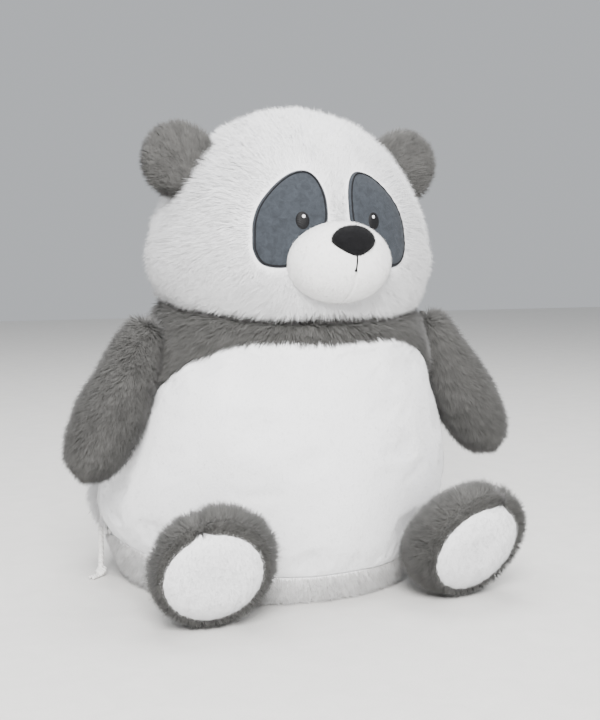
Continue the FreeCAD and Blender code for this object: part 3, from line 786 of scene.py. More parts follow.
def grow_pile(name: str, skin: Skin, pile: Pile, count: int, comb: Field, seed: int,
              cover: Field | None = None) -> bpy.types.Object:
    """Grow strands on a skin as closed three-sided spikes.

    Roots fall evenly over the area where cover is above zero. A strand leaves along the normal leaned
    towards the comb, its tip is drawn towards the mean tip of its lock, and no tip goes below the
    floor. Each vertex keeps how far along the strand it is and the strand's own shade.

    Args:
        name: the object's name.
        skin: the grid that the pile grows from.
        pile: the kind of pile.
        count: number of strands.
        comb: direction field of the lay of the pile.
        seed: seed of every random draw.
        cover: length factor from 0, bare, to 1.

    Returns:
        The new object.
    """
    rng = np.random.default_rng(seed)
    grid, lean_grid = skin.points, skin.normals
    low, beside, above, far = grid[:-1, :-1], grid[:-1, 1:], grid[1:, :-1], grid[1:, 1:]
    weight = np.linalg.norm(np.cross(far - low, above - beside), axis=-1)
    if cover is not None:
        weight = weight * (cover(((low + beside + above + far) / 4).reshape(-1, 3)).reshape(weight.shape) > 0)
    picked = rng.choice(weight.size, count, p=weight.ravel() / weight.sum())
    row, column = np.divmod(picked, weight.shape[1])
    up, over = rng.random((2, count, 1))

    def inside(values: Array) -> Array:
        """The grid's values at each root, mixed from the four corners of its face."""
        lower = values[row, column] * (1 - over) + values[row, column + 1] * over
        upper = values[row + 1, column] * (1 - over) + values[row + 1, column + 1] * over
        return lower * (1 - up) + upper * up

    root, normal = inside(grid), unit(inside(lean_grid))
    lay = comb(root)
    flat = lay - (lay * normal).sum(axis=1, keepdims=True) * normal
    laid = np.linalg.norm(flat, axis=1, keepdims=True) / np.linalg.norm(lay, axis=1, keepdims=True)
    lay = unit(flat)
    wander = pile.swirl * ripple(root, 4.0 * pile.lock, seed + 1)[:, None]
    lay = lay * np.cos(wander) + np.cross(normal, lay) * np.sin(wander)
    lean = np.radians(pile.lean) * (1 + 0.2 * ripple(root, 6.0 * pile.lock, seed + 2))[:, None]
    lean = lean * np.clip(3.0 * laid, 0.3, 1.0)
    heading = unit(normal * np.cos(lean) + lay * np.sin(lean) + rng.normal(size=(count, 3)) * pile.jitter)
    factor = np.ones(count) if cover is None else np.clip(cover(root), 0.05, 1.0)
    reach = (pile.length * factor * rng.uniform(0.7, 1.15, count))[:, None]
    tip = root + heading * reach
    lock = lock_numbers(root, pile.lock)
    members = np.maximum(np.bincount(lock), 1)[:, None]
    gathered = np.stack([np.bincount(lock, tip[:, axis]) for axis in range(3)], axis=1) / members
    pull = (pile.pull * rng.uniform(0.6, 1.2, len(members))[lock])[:, None] * factor[:, None]
    tip = tip + (gathered[lock] - tip) * np.clip(pull, 0, 0.9)
    tip[:, 2] = np.maximum(tip[:, 2], 0.5 * MM)
    heading = unit(tip - root)
    first = unit(np.cross(heading, rng.normal(size=(count, 3))))
    second = np.cross(heading, first)
    corner = np.radians([0.0, 120.0, 240.0])
    side = first[:, None] * np.cos(corner)[None, :, None] + second[:, None] * np.sin(corner)[None, :, None]
    radius = pile.radius * rng.uniform(0.75, 1.25, (count, 1, 1))
    base = root[:, None] - heading[:, None] * 0.4 * MM + side * radius
    base[..., 2] = np.maximum(base[..., 2], 0.3 * MM)
    points = np.concatenate([base, tip[:, None]], axis=1).reshape(-1, 3)
    start = np.arange(count)[:, None, None] * 4
    spike = np.array([[0, 1, 3], [1, 2, 3], [2, 0, 3], [0, 2, 1]])
    piece = put_mesh(name, points, None, (start + spike).reshape(-1, 3))
    shade = np.clip(0.5 + 0.3 * rng.normal(size=len(members))[lock] + 0.25 * rng.normal(size=count), 0, 1)
    for label, values in (("along", np.tile([0.0, 0.0, 0.0, 1.0], count)), ("shade", np.repeat(shade, 4))):
        attribute = piece.data.attributes.new(label, "FLOAT", "POINT")
        attribute.data.foreach_set("value", values.astype(np.float32))
    soft = unit(np.concatenate([normal[:, None] * 1.1 + side * 0.4, normal[:, None]], axis=1)).reshape(-1, 3)
    piece.data.normals_split_custom_set_from_vertices(soft)
    return piece


# ---------------------------------------------------------------- the panda

class Piecework:
    """What every sub-assembly shares: its finishes, and fixing a piece to a body of the frame."""

    def __init__(self, finishes: Finishes) -> None:
        """Keep the finishes."""
        self.finishes = finishes

    def fix(self, piece: bpy.types.Object, body: str, slot: str, replaces: Sequence[str] = (),
            ground: bool = False, fill: float | None = None) -> bpy.types.Object:
        """Dress a piece, let it ride on a body and hide the CAD nodes that it stands for.

        Args:
            piece: the object.
            body: the frame's body.
            slot: the record's material slot.
            replaces: CAD nodes that the piece stands for.
            ground: True for the cloth under a pile.
            fill: how tightly the piece is stuffed, or None; not used.

        Returns:
            The same object.
        """
        self.finishes.dress(piece, slot, ground)
        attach(piece, body)
        if replaces:
            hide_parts(*replaces)
        log.info("%s on %s, %d faces", piece.name, body,
                 len(piece.data.polygons) if piece.type == "MESH" else 0)
        return piece


@dataclass
class PullSizes:
    """The pull cord's route in metres, its diameter and length, and its knot."""

    route: tuple[tuple[float, float, float], ...] = (
        (-0.1214, 0.0149, 0.0365), (-0.1219, 0.0143, 0.0285), (-0.1215, 0.0151, 0.0195),
        (-0.1220, 0.0146, 0.0105), (-0.1217, 0.0149, 0.0035))
    diameter: float = 0.004
    length: float = 0.0331
    knot: tuple[float, float, float] = (-0.1217, 0.0149, 0.0043)
    knot_radius: float = 0.0042
    tail_length: float = 0.0115
    tail_radius: float = 0.0011
    tail_heading: float = 217.0


class Pull(Piecework):
    """The limp pull cord, with a knot and a doubled tail at its end."""

    sizes = PullSizes()

    def build(self) -> None:
        """Make the cord, its knot and its tail."""
        sizes = self.sizes
        curve = bpy.data.curves.new("pull_cord", "CURVE")
        curve.dimensions, curve.bevel_depth, curve.bevel_resolution = "3D", sizes.diameter / 2, 4
        curve.use_fill_caps, curve.resolution_u = True, 16
        line = curve.splines.new("NURBS")
        line.points.add(len(sizes.route) - 1)
        for point, place in zip(line.points, sizes.route):
            point.co = (*place, 1.0)
        line.order_u, line.use_endpoint_u = 3, True
        cord = bpy.data.objects.new("pull_cord", curve)
        bpy.context.scene.collection.objects.link(cord)
        self.fix(cord, "zip_slider", "pull_cord", ["zip_pull_cord"])
        knot = self.fix(self.knot(), "zip_slider", "pull_cord", ["zip_pull_knot"])
        tails = [self.fix(self.tail(name, aside), "zip_slider", "pull_cord")
                 for name, aside in (("pull_tail_upper", 1.0), ("pull_tail_lower", -1.0))]

    def knot(self) -> bpy.types.Object:
        """A ball whose radius rises and falls in three turns of cord wound round it.

        Returns:
            The knot.
        """
        sizes = self.sizes
        turn, rise = np.meshgrid(np.linspace(0, 2 * math.pi, 49), np.linspace(0.02, math.pi - 0.02, 33))
        wound = 1.0 - 0.13 * (0.5 + 0.5 * np.cos(3 * turn + 2.2 * np.cos(rise) * 2))
        ball = np.stack([np.sin(rise) * np.cos(turn), np.sin(rise) * np.sin(turn), -np.cos(rise)], axis=-1)
        points = ball * (wound * sizes.knot_radius)[..., None] + np.array(sizes.knot)
        points[:, -1] = points[:, 0]
        return skin_mesh("pull_knot", Skin(points))

    def tail(self, name: str, aside: float) -> bpy.types.Object:
        """One strand of the tail, lying on the surface and parting a little from the other.

        Args:
            name: the object's name.
            aside: 1 for one side of the pair, -1 for the other.

        Returns:
            The strand.
        """
        sizes = self.sizes
        heading = math.radians(sizes.tail_heading)
        ahead = np.array([math.cos(heading), math.sin(heading), 0.0])
        beside = np.array([-math.sin(heading), math.cos(heading), 0.0]) * aside
        run = np.linspace(0.0, 1.0, 24)[:, None]
        path = (np.array([*sizes.knot[:2], sizes.tail_radius * 1.4]) + ahead * run * sizes.tail_length
                + beside * sizes.tail_radius * (1.0 + 0.5 * run ** 2))
        swell = sizes.tail_radius * (1.0 + 0.12 * np.cos(run.ravel() * 40.0))
        swell[-1] *= 0.6
        return tube_mesh(name, path, swell)


@dataclass
class BodySizes:
    """Torso sections and seams in millimetres."""

    rows: tuple[tuple[float, ...], ...] = (
        (0.4, 2.0, 2.0, 0.0, 0.0), (0.4, 60.0, 60.0, 0.0, 0.0), (0.4, 100.0, 100.0, 0.0, 0.0),
        (3.5, 105.0, 105.0, 0.0, 0.0), (14.0, 110.5, 110.0, 0.0, 0.0), (36.0, 119.5, 118.0, -1.0, 0.0),
        (62.0, 128.0, 119.0, -6.0, 0.0), (95.0, 123.5, 112.5, -15.0, 0.0), (132.0, 113.5, 101.5, -25.0, 2.0),
        (165.0, 101.5, 89.5, -35.0, 5.0), (183.0, 95.0, 83.5, -40.0, 7.0), (194.0, 88.0, 78.0, -43.0, 8.0),
        (197.5, 80.0, 71.0, -43.0, 8.0), (198.0, 40.0, 36.0, -43.0, 8.0), (198.0, 2.0, 2.0, -43.0, 8.0))
    front_seam: float = 19.0
    back_seam: float = 36.0
    zip_opening: float = 9.0
    arch_top: float = 177.5
    arch_flat: float = 45.0
    arch_radius: float = 65.0
    arch_corner: tuple[float, float] = (106.1, 134.7)
    arch_slope: float = -0.32
    back_yoke_edge: float = 140.0
    seam_rows: tuple[float, float] = (3.0, 7.0)
    arch_rows: tuple[float, float] = (6.5, 11.0)


class Body(Piecework):
    """Belly, back, yokes and base, with the pile of the yoke and of the base."""

    sizes = BodySizes()

    def __init__(self, finishes: Finishes) -> None:
        """Set up the sections."""
        super().__init__(finishes)
        self.stack = Stack(self.sizes.rows)

    def arch(self, aside: Array) -> Array:
        """Height in millimetres of the yoke's lower edge: level in the middle, then a quarter round,
        then a straight slope.

        Args:
            aside: places across in millimetres.

        Returns:
            One height for each place.
        """
        sizes = self.sizes
        wide = np.clip(np.abs(aside) - sizes.arch_flat, 0.0, sizes.arch_radius)
        round_part = sizes.arch_top - sizes.arch_radius + np.sqrt(sizes.arch_radius ** 2 - wide ** 2)
        slope_part = sizes.arch_corner[1] + sizes.arch_slope * (np.abs(aside) - sizes.arch_corner[0])
        return np.where(np.abs(aside) < sizes.arch_corner[0], round_part, slope_part)

    def seam_row(self, turn: Array, shift: float) -> Array:
        """Row where the base seam runs: low at the front, rising to the sides, level behind. shift is
        which edge of the zip's opening, from -1 to 1.

        Args:
            turn: angles round from the front, in radians.
            shift: edge of the zip's opening, from -1 to 1.

        Returns:
            One row for each turn.
        """
        sizes = self.sizes
        behind = np.clip(1.0 - np.cos(turn), 0.0, 1.0)
        opening = 0.15 + (sizes.zip_opening / 2 - 0.15) * np.clip((behind - 0.93) / 0.07, 0, 1)
        height = sizes.front_seam + (sizes.back_seam - sizes.front_seam) * behind + shift * opening

        def above(points: Array) -> Array:
            """Height over the seam."""
            return points[..., 2] / MM - height

        return self.stack.crossing(turn, above, *sizes.seam_rows)

    def yoke_row(self, turn: Array) -> Array:
        """Row where the yoke begins: on the arch in front, at a level edge behind.

        Args:
            turn: angles round from the front, in radians.

        Returns:
            One row for each turn.
        """
        sizes = self.sizes
        behind = np.clip((0.17 - np.cos(turn)) / 0.34, 0.0, 1.0)

        def above(points: Array) -> Array:
            """Height over the edge."""
            edge = self.arch(points[..., 0] / MM) * (1 - behind) + sizes.back_yoke_edge * behind
            return points[..., 2] / MM - edge

        return self.stack.crossing(turn, above, *sizes.arch_rows)

    def panel(self, name: str, turns: tuple[float, float], low: Callable[[Array], Array],
              high: Callable[[Array], Array], grid: tuple[int, int], depth: tuple[float, float],
              lump: float) -> Skin:
        """A panel between two seams.

        Its height over the sections is a slow wave, less a groove at each seam that falls off with
        the square of the distance, with small puckers that run out from the seams.

        Args:
            name: seeds the slow wave.
            turns: start and end angle in degrees.
            low: row of the lower seam for each turn.
            high: row of the upper seam for each turn.
            grid: columns and rows.
            depth: groove depth at the lower and upper seam in millimetres.
            lump: height of the slow wave in millimetres.

        Returns:
            The panel's skin.
        """
        turn = np.radians(np.linspace(*turns, grid[0]))
        part = np.linspace(0.0, 1.0, grid[1])[:, None]
        first, last = low(turn)[None, :], high(turn)[None, :]
        skin = Skin(self.stack.at(turn[None, :], first + (last - first) * part))
        run = np.linalg.norm(np.diff(skin.points, axis=0), axis=-1)
        climb = np.vstack([np.zeros((1, grid[0])), np.cumsum(run, axis=0)]) / MM
        height = lump * ripple(skin.points, 70 * MM, len(name))
        for gap, deep, wave in ((climb, depth[0], 61.0), (climb[-1:] - climb, depth[1], 83.0)):
            pucker = np.sin(turn * wave + 2.0 * np.sin(turn * 13.0))[None, :]
            height -= deep * np.exp(-(gap / 3.2) ** 2) * (1.0 + 0.25 * pucker)
            height += 0.12 * deep * pucker * np.exp(-gap / 8.0)
        return skin.raised(height * MM)

    def build(self) -> None:
        """Make the panels and their pile."""
        def lower_seam(turn: Array) -> Array:
            """Row of the opening's lower edge."""
            return self.seam_row(turn, -1.0)

        def upper_seam(turn: Array) -> Array:
            """Row of the opening's upper edge."""
            return self.seam_row(turn, 1.0)

        def crown(turn: Array) -> Array:
            """The last row, under the head."""
            return np.full_like(turn, len(self.sizes.rows) - 1.0)

        base = self.panel("base", (-180.0, 180.0), np.zeros_like, lower_seam, (301, 50), (0.0, 0.8), 0.2)
        belly = self.panel("belly", (-90.0, 90.0), upper_seam, self.yoke_row, (221, 100), (0.6, 2.4), 1.5)
        belly = stuffed(belly, 2.0, 0.012, 1.6 * MM)
        back = self.panel("back", (90.0, 270.0), upper_seam, self.yoke_row, (141, 60), (1.0, 2.0), 0.9)
        front_yoke = self.panel("front_yoke", (-90.0, 90.0), self.yoke_row, crown, (181, 40), (2.2, 0.0), 0.5)
        back_yoke = self.panel("back_yoke", (90.0, 270.0), self.yoke_row, crown, (181, 40), (2.0, 0.0), 0.5)
        panels = (("base_cover", base, "white_base_pile", ["base_panel", "bean_bag"], None),
                  ("belly_cover", belly, "white_short_pile", ["belly_panel", "body_filling"], 0.9),
                  ("back_cover", back, "white_long_pile", ["back_panel"], 0.9),
                  ("front_yoke_cover", front_yoke, "grey_long_pile", ["front_yoke"], None),
                  ("back_yoke_cover", back_yoke, "grey_long_pile", ["back_yoke"], None))
        for name, skin, slot, nodes, fill in panels:
            piece = skin_mesh(name, skin)
            thicken(piece, 1.2 * MM)
            self.fix(piece, "torso", slot, nodes, ground=slot != "white_short_pile", fill=fill)
        yoke_pile = Pile(9.0 * MM, 0.28 * MM, 56.0, 3.6 * MM, pull=0.32, swirl=0.5, jitter=0.2)

        def yoke_comb(points: Array) -> Array:
            """Down and outwards to each side."""
            return np.stack([points[:, 0] * 9.0, points[:, 1] * 2.0, np.full(len(points), -0.5)], axis=-1)

        def fringe_cover(points: Array) -> Array:
            """Full in front, shorter behind, and bare under the base."""
            ahead = np.clip(0.6 - points[:, 1] / (100 * MM), 0.0, 1.0)
            return np.where(points[:, 2] > 1.5 * MM, 0.3 + 0.7 * ahead, 0.0)

        self.fix(grow_pile("front_yoke_pile", front_yoke, yoke_pile, 36000, yoke_comb, 11), "torso",
                 "grey_long_pile")
        self.fix(grow_pile("back_yoke_pile", back_yoke, yoke_pile, 12000, yoke_comb, 12), "torso",
                 "grey_long_pile")
        fringe = Pile(7.5 * MM, 0.3 * MM, 40.0, 3.4 * MM, pull=0.35, swirl=0.9, jitter=0.28)
        self.fix(grow_pile("base_pile", base, fringe, 20000, falling, 13, fringe_cover), "torso",
                 "white_base_pile")
        nap = Pile(1.9 * MM, 0.16 * MM, 50.0, 3.0 * MM, pull=0.2, swirl=0.9, jitter=0.35)
        self.fix(grow_pile("belly_nap", belly, nap, 8000, falling, 14), "torso", "white_short_pile")
        back_pile = Pile(8.5 * MM, 0.33 * MM, 48.0, 4.2 * MM, pull=0.3, swirl=0.45, jitter=0.2)
        self.fix(grow_pile("back_pile", back, back_pile, 17000, falling, 15), "torso", "white_long_pile")


@dataclass
class HeadSizes:
    """Head sections, patch outline, eyes, muzzle and nose in millimetres."""

    rows: tuple[tuple[float, ...], ...] = (
        (204.0, 2.0, 2.0, -42.0, 8.0), (204.0, 50.0, 46.0, -42.0, 8.0), (205.5, 83.0, 75.5, -42.0, 8.0),
        (210.0, 89.5, 81.5, -42.2, 7.5), (226.0, 94.0, 85.5, -44.0, 3.0), (248.0, 90.5, 83.0, -46.0, 0.0),
        (270.0, 80.5, 76.5, -48.0, 0.0), (290.0, 67.5, 66.0, -48.0, 0.0), (304.0, 54.5, 53.5, -48.5, 0.0),
        (315.0, 38.0, 37.0, -48.5, 0.0), (322.5, 19.0, 18.5, -48.0, 0.0), (325.0, 2.0, 2.0, -48.0, 0.0))
    face_rows: tuple[float, float] = (2.5, 9.0)
    patch: tuple[tuple[float, float], ...] = (
        (19.3, 285.0), (13.0, 282.0), (9.0, 274.0), (7.4, 263.3), (8.7, 250.0), (18.0, 232.0), (30.0, 224.6),
        (40.0, 223.0), (48.8, 225.7), (53.2, 234.0), (53.4, 243.5), (52.2, 253.5), (47.8, 264.0),
        (38.6, 275.0), (28.4, 282.6))
    patch_middle: tuple[float, float] = (30.0, 250.0)
    patch_rise: float = 2.2
    stitch_inset: float = 1.9
    eye: tuple[float, float] = (24.2, 252.8)
    eye_half: tuple[float, float] = (4.5, 5.9)
    highlight: tuple[float, float] = (23.5, 255.2)
    highlight_half: float = 1.05
    muzzle: tuple[float, float, float] = (0.0, -127.0, 227.0)
    muzzle_half: tuple[float, float, float] = (35.0, 28.6, 26.2)
    nose: tuple[float, float, float] = (0.0, -150.0, 240.0)
    nose_half: tuple[float, float, float] = (14.5, 7.5, 10.3)
    nose_tip_back: float = 24.0
    mouth: tuple[float, float] = (232.5, 221.5)
    comb_middle: tuple[float, float, float] = (0.0, -100.0, 240.0)
    parting: float = -50.0
    pile_floor: float = 188.0


class Head(Piecework):
    """Head cover with its long pile, eye patches, eyes, muzzle, nose and mouth."""

    sizes = HeadSizes()

    def __init__(self, finishes: Finishes) -> None:
        """Set up the sections and the smooth patch outline."""
        super().__init__(finishes)
        self.stack = Stack(self.sizes.rows)
        ring = np.array(self.sizes.patch)
        wrapped = np.vstack([ring[-2:], ring, ring[:3]])
        self.outline = smooth_rows(wrapped, np.linspace(2, 2 + len(ring), 121)[:-1])

    def patch_gap(self, points: Array) -> Array:
        """Distance in millimetres from the nearer patch, below zero inside it.

        The distance is to the nearest outline point, and a point is inside if a line from it
        crosses the outline an odd number of times.

        Args:
            points: places in metres.

        Returns:
            One distance for each point.
        """
        flat = np.stack([np.abs(points[:, 0]), points[:, 2]], axis=-1) / MM
        start, end = self.outline, np.roll(self.outline, -1, axis=0)
        gap = np.full(len(flat), np.inf)
        odd = np.zeros(len(flat), dtype=bool)
        for first, last in zip(start, end):
            gap = np.minimum(gap, np.linalg.norm(flat - first, axis=1))
            spans = (first[1] > flat[:, 1]) != (last[1] > flat[:, 1])
            rise = last[1] - first[1]
            cross = first[0] + (flat[:, 1] - first[1]) * (last[0] - first[0]) / (rise if rise else 1.0)
            odd ^= spans & (flat[:, 0] < cross)
        return np.where(odd, -gap, gap)

    def cover(self, points: Array) -> Array:
        """Length factor of the pile: none on the patches and under the muzzle, short beside them.

        Args:
            points: places in metres.

        Returns:
            One factor for each point.
        """
        sizes = self.sizes
        face = points[:, 1] < -70 * MM
        gap = self.patch_gap(points)
        beside_patch = np.where(gap < 1.1, 0.0, np.clip(0.34 + gap / 16.0, 0.0, 1.0))
        middle, half = np.array(sizes.muzzle) * MM, np.array(sizes.muzzle_half) * MM
        ring = np.hypot((points[:, 0] - middle[0]) / half[0], (points[:, 2] - middle[2]) / half[2])
        beside_muzzle = np.where(ring < 0.93, 0.0, np.clip(0.30 + (ring - 0.93) * 1.5, 0.0, 1.0))
        return np.where(face, np.minimum(beside_patch, beside_muzzle), 1.0)

    def comb(self, points: Array) -> Array:
        """Away from the middle of the face and down, over the crown to the back, and away from the
        patches and the muzzle near them.

        Args:
            points: places in metres.

        Returns:
            One direction for each point.
        """
        behind = np.clip((points[:, 1] / MM + 48.0) / 40.0, 0.0, 1.0)[:, None]
        lay = unit(points - np.array(self.sizes.comb_middle) * MM)
        lay = lay + np.array([0.0, 0.0, -0.4]) * (1.0 + 2.5 * behind)
        gap = np.where(points[:, 1] < -60 * MM, self.patch_gap(points), 99.0)
        side = np.where(points[:, 0] < 0, -1.0, 1.0)
        centre = np.stack([side * self.sizes.patch_middle[0], np.zeros(len(points)),
                           np.full(len(points), self.sizes.patch_middle[1])], axis=-1) * MM
        away = unit((points - centre) * np.array([1.0, 0.0, 1.0]))
        muzzle = unit((points - np.array(self.sizes.muzzle) * MM) * np.array([1.0, 0.0, 1.0]))
        near = np.exp(-np.clip(gap, 0, 99) / 6.0)[:, None]
        below = np.exp(-np.clip((points[:, 2] / MM - 190.0), 0, 99) / 16.0)[:, None]
        front = np.clip((-points[:, 1] / MM - 90.0) / 20.0, 0.0, 1.0)[:, None]
        return lay + 1.4 * near * away + 0.9 * below * front * muzzle

    def build(self) -> None:
        """Make the cover, the pile and the face."""
        turn = np.radians(np.linspace(-180.0, 180.0, 221))
        place = np.linspace(0.0, len(self.sizes.rows) - 1.0, 130)
        skin = Skin(self.stack.at(turn[None, :], place[:, None]))
        skin = skin.raised(0.7 * MM * ripple(skin.points, 60 * MM, 5))
        self.fix(skin_mesh("head_cover", skin), "head", "white_long_pile",
                 ["head_front_panel", "head_back_panel", "head_filling"], ground=True, fill=0.95)
        pile = Pile(11.0 * MM, 0.33 * MM, 54.0, 4.5 * MM, pull=0.28, swirl=0.45, jitter=0.2)
        zones = {"front_right": (42000, True, True), "front_left": (42000, True, False),
                 "back_right": (16000, False, True), "back_left": (16000, False, False)}
        for seed, (zone, (count, front, right)) in enumerate(zones.items(), start=21):

            def limit(points: Array, front: bool = front, right: bool = right) -> Array:
                """The pile's cover within one quarter of the head."""
                ahead, aside = points[:, 1] < self.sizes.parting * MM, points[:, 0] < 0
                above = points[:, 2] > self.sizes.pile_floor * MM
                return self.cover(points) * ((ahead == front) & (aside == right) & above)

            self.fix(grow_pile(f"head_pile_{zone}", skin, pile, count, self.comb, seed, limit), "head",
                     "white_long_pile")
        for name, side in SIDES.items():
            self.eye(name, side)
        self.muzzle()

    def dome(self, name: str, centre: tuple[float, float], rim: Array, side: float, base: float,
             rise: float, power: float) -> bpy.types.Object:
        """A low closed cushion on the face.

        Rings shrink from the rim to the centre, each point lies on the head at the same aside and
        height, and it stands off by base plus rise times one minus the ring's size to a power.
        A second set of rings closes it behind.

        Args:
            name: the object's name.
            centre: aside and height of the middle in millimetres.
            rim: outline in millimetres, aside and height.
            side: -1 for the right, 1 for the left.
            base: stand-off of the edge in millimetres.
            rise: extra stand-off of the middle in millimetres.
            power: how square the edge is.

        Returns:
            The new object.
        """
        size = np.linspace(0.02, 1.0, 26) ** 0.7
        rings = np.array(centre) + (rim[None] - np.array(centre)) * size[:, None, None]
        points, normals = self.stack.facing(side * rings[..., 0] * MM, rings[..., 1] * MM,
                                            *self.sizes.face_rows)
        lift = (base + rise * (1.0 - size ** power))[:, None, None] * MM
        front, rear = points + normals * lift, points[::-1] - normals[::-1] * 1.0 * MM
        shell = np.concatenate([front, rear], axis=0)
        shell = np.concatenate([shell, shell[:, :1]], axis=1)
        if np.sum(np.cross(np.gradient(shell, axis=1), np.gradient(shell, axis=0))[13] * normals[13, :1]) < 0:
            shell = shell[:, ::-1]
        return skin_mesh(name, Skin(shell))

    def inset(self, distance: float) -> Array:
        """The patch outline drawn in by a distance in millimetres along its own normals.

        Args:
            distance: how far in.

        Returns:
            The smaller outline.
        """
        ahead = unit(np.roll(self.outline, -1, axis=0) - np.roll(self.outline, 1, axis=0))
        inward = np.stack([-ahead[:, 1], ahead[:, 0]], axis=-1)
        centre = np.array(self.sizes.patch_middle)
        if np.mean(np.sum(inward * (centre - self.outline), axis=1)) < 0:
            inward = -inward
        return self.outline + inward * distance

    def eye(self, name: str, side: float) -> None:
        """One eye patch, its stitching, the eye and its highlight.

        Args:
            name: right or left.
            side: -1 for the right, 1 for the left.
        """
        sizes = self.sizes
        patch = self.dome(f"{name}_patch", sizes.patch_middle, self.outline, side, 0.3,
                          sizes.patch_rise, 14.0)
        self.fix(patch, "head", "patch_suede", [f"{name}_eye_patch"])
        line = self.inset(sizes.stitch_inset)
        points, normals = self.stack.facing(side * line[:, 0] * MM, line[:, 1] * MM, *sizes.face_rows)
        wave = 0.12 * np.cos(np.arange(len(line)) * math.pi / 2)[:, None]
        path = points + normals * (0.3 + sizes.patch_rise * 0.72 + wave) * MM
        self.fix(loop_tube(f"{name}_stitch", path, 0.5 * MM), "head", "dark_thread",
                 [f"{name}_patch_stitching"])
        turn = np.linspace(0, 2 * math.pi, 41)[:-1]
        oval = np.stack([np.cos(turn), np.sin(turn)], axis=-1)
        eye = self.dome(f"{name}_pupil", sizes.eye, np.array(sizes.eye) + oval * sizes.eye_half, side,
                        sizes.patch_rise, 1.3, 3.0)
        self.fix(eye, "head", "black_thread", [f"{name}_eye"])
        spot_rim = np.array(sizes.highlight) + oval * sizes.highlight_half
        spot = self.dome(f"{name}_glint", sizes.highlight, spot_rim, side, sizes.patch_rise + 1.2, 0.6, 2.0)
        self.fix(spot, "head", "white_thread", [f"{name}_eye_highlight"])

    def muzzle_front(self, aside: Array, height: Array, lift: float) -> Array:
        """Points on the front of the muzzle at a given aside and height in millimetres.

        Args:
            aside: places across.
            height: places up.
            lift: stand-off from the muzzle.

        Returns:
            The points in metres.
        """
        sizes = self.sizes
        wide, deep, tall = (half + lift for half in sizes.muzzle_half)
        rest = 1.0 - (aside / wide) ** 2 - ((height - sizes.muzzle[2]) / tall) ** 2
        front = sizes.muzzle[1] - deep * np.sqrt(np.clip(rest, 0.0, 1.0))
        return np.stack([aside, front, height], axis=-1) * MM

    def muzzle(self) -> None:
        """Muzzle, nose, and mouth stitch with its end knot.

        The muzzle is an ellipsoid with a shallow groove down its chin. The nose is an ellipsoid
        that narrows towards its bottom and is tipped back.
        """
        sizes = self.sizes
        ball = globe(161, 101, 0.015)
        skin = Skin((np.array(sizes.muzzle) + ball * np.array(sizes.muzzle_half)) * MM)
        ahead = skin.points[..., 1] < sizes.muzzle[1] * MM
        low = np.clip((sizes.mouth[1] - skin.points[..., 2] / MM) / 3.0, 0.0, 1.0)
        groove = -0.9 * np.exp(-(skin.points[..., 0] / MM / 0.8) ** 2) * low * ahead
        skin = skin.raised((groove + 0.35 * ripple(skin.points, 35 * MM, 8)) * MM)
        self.fix(skin_mesh("muzzle", skin), "head", "muzzle_velour", ["muzzle_cover", "muzzle_filling"],
                 fill=0.95)
        nap = Pile(1.3 * MM, 0.13 * MM, 45.0, 2.5 * MM, pull=0.15, jitter=0.35)

        def front(points: Array) -> Array:
            """Full on the front of the muzzle."""
            return (points[:, 1] < -112 * MM) * 1.0

        def down(points: Array) -> Array:
            """Down, and out to each side."""
            return np.stack([points[:, 0] * 20, np.zeros(len(points)), np.full(len(points), -1.0)], axis=-1)

        self.fix(grow_pile("muzzle_nap", skin, nap, 8000, down, 31, front), "head", "muzzle_velour")
        narrow = 1.0 - 0.34 * np.clip(-ball[..., 2:], 0.0, 1.0) ** 1.2
        nose = ball * np.array(sizes.nose_half)
        nose[..., :1] *= narrow
        nose[..., 1] *= 1.0 + 0.15 * ball[..., 2]
        turn_back = rotation("X", -sizes.nose_tip_back)
        nose_skin = Skin(nose * MM).moved(turn_back, np.array(sizes.nose) * MM)
        self.fix(skin_mesh("nose_pad", nose_skin), "head", "black_plush", ["nose"])
        nose_nap = Pile(1.1 * MM, 0.14 * MM, 40.0, 2.0 * MM, pull=0.1, jitter=0.35)
        self.fix(grow_pile("nose_nap", nose_skin, nose_nap, 3000, down, 32), "head", "black_plush")
        heights = np.linspace(*sizes.mouth, 24)
        sway = -0.9 * np.linspace(0.0, 1.0, 24) ** 2
        line = self.muzzle_front(sway, heights, 0.25)
        radius = np.full(24, 0.5 * MM)
        radius[-3:] = 0.85 * MM
        self.fix(tube_mesh("mouth_thread", line, radius), "head", "black_thread", ["mouth_stitch"])


@dataclass
class LimbSizes:
    """A limb: sections in millimetres from its joint, and its joint's place."""

    rows: tuple[tuple[float, ...], ...]
    joint: tuple[float, float, float]


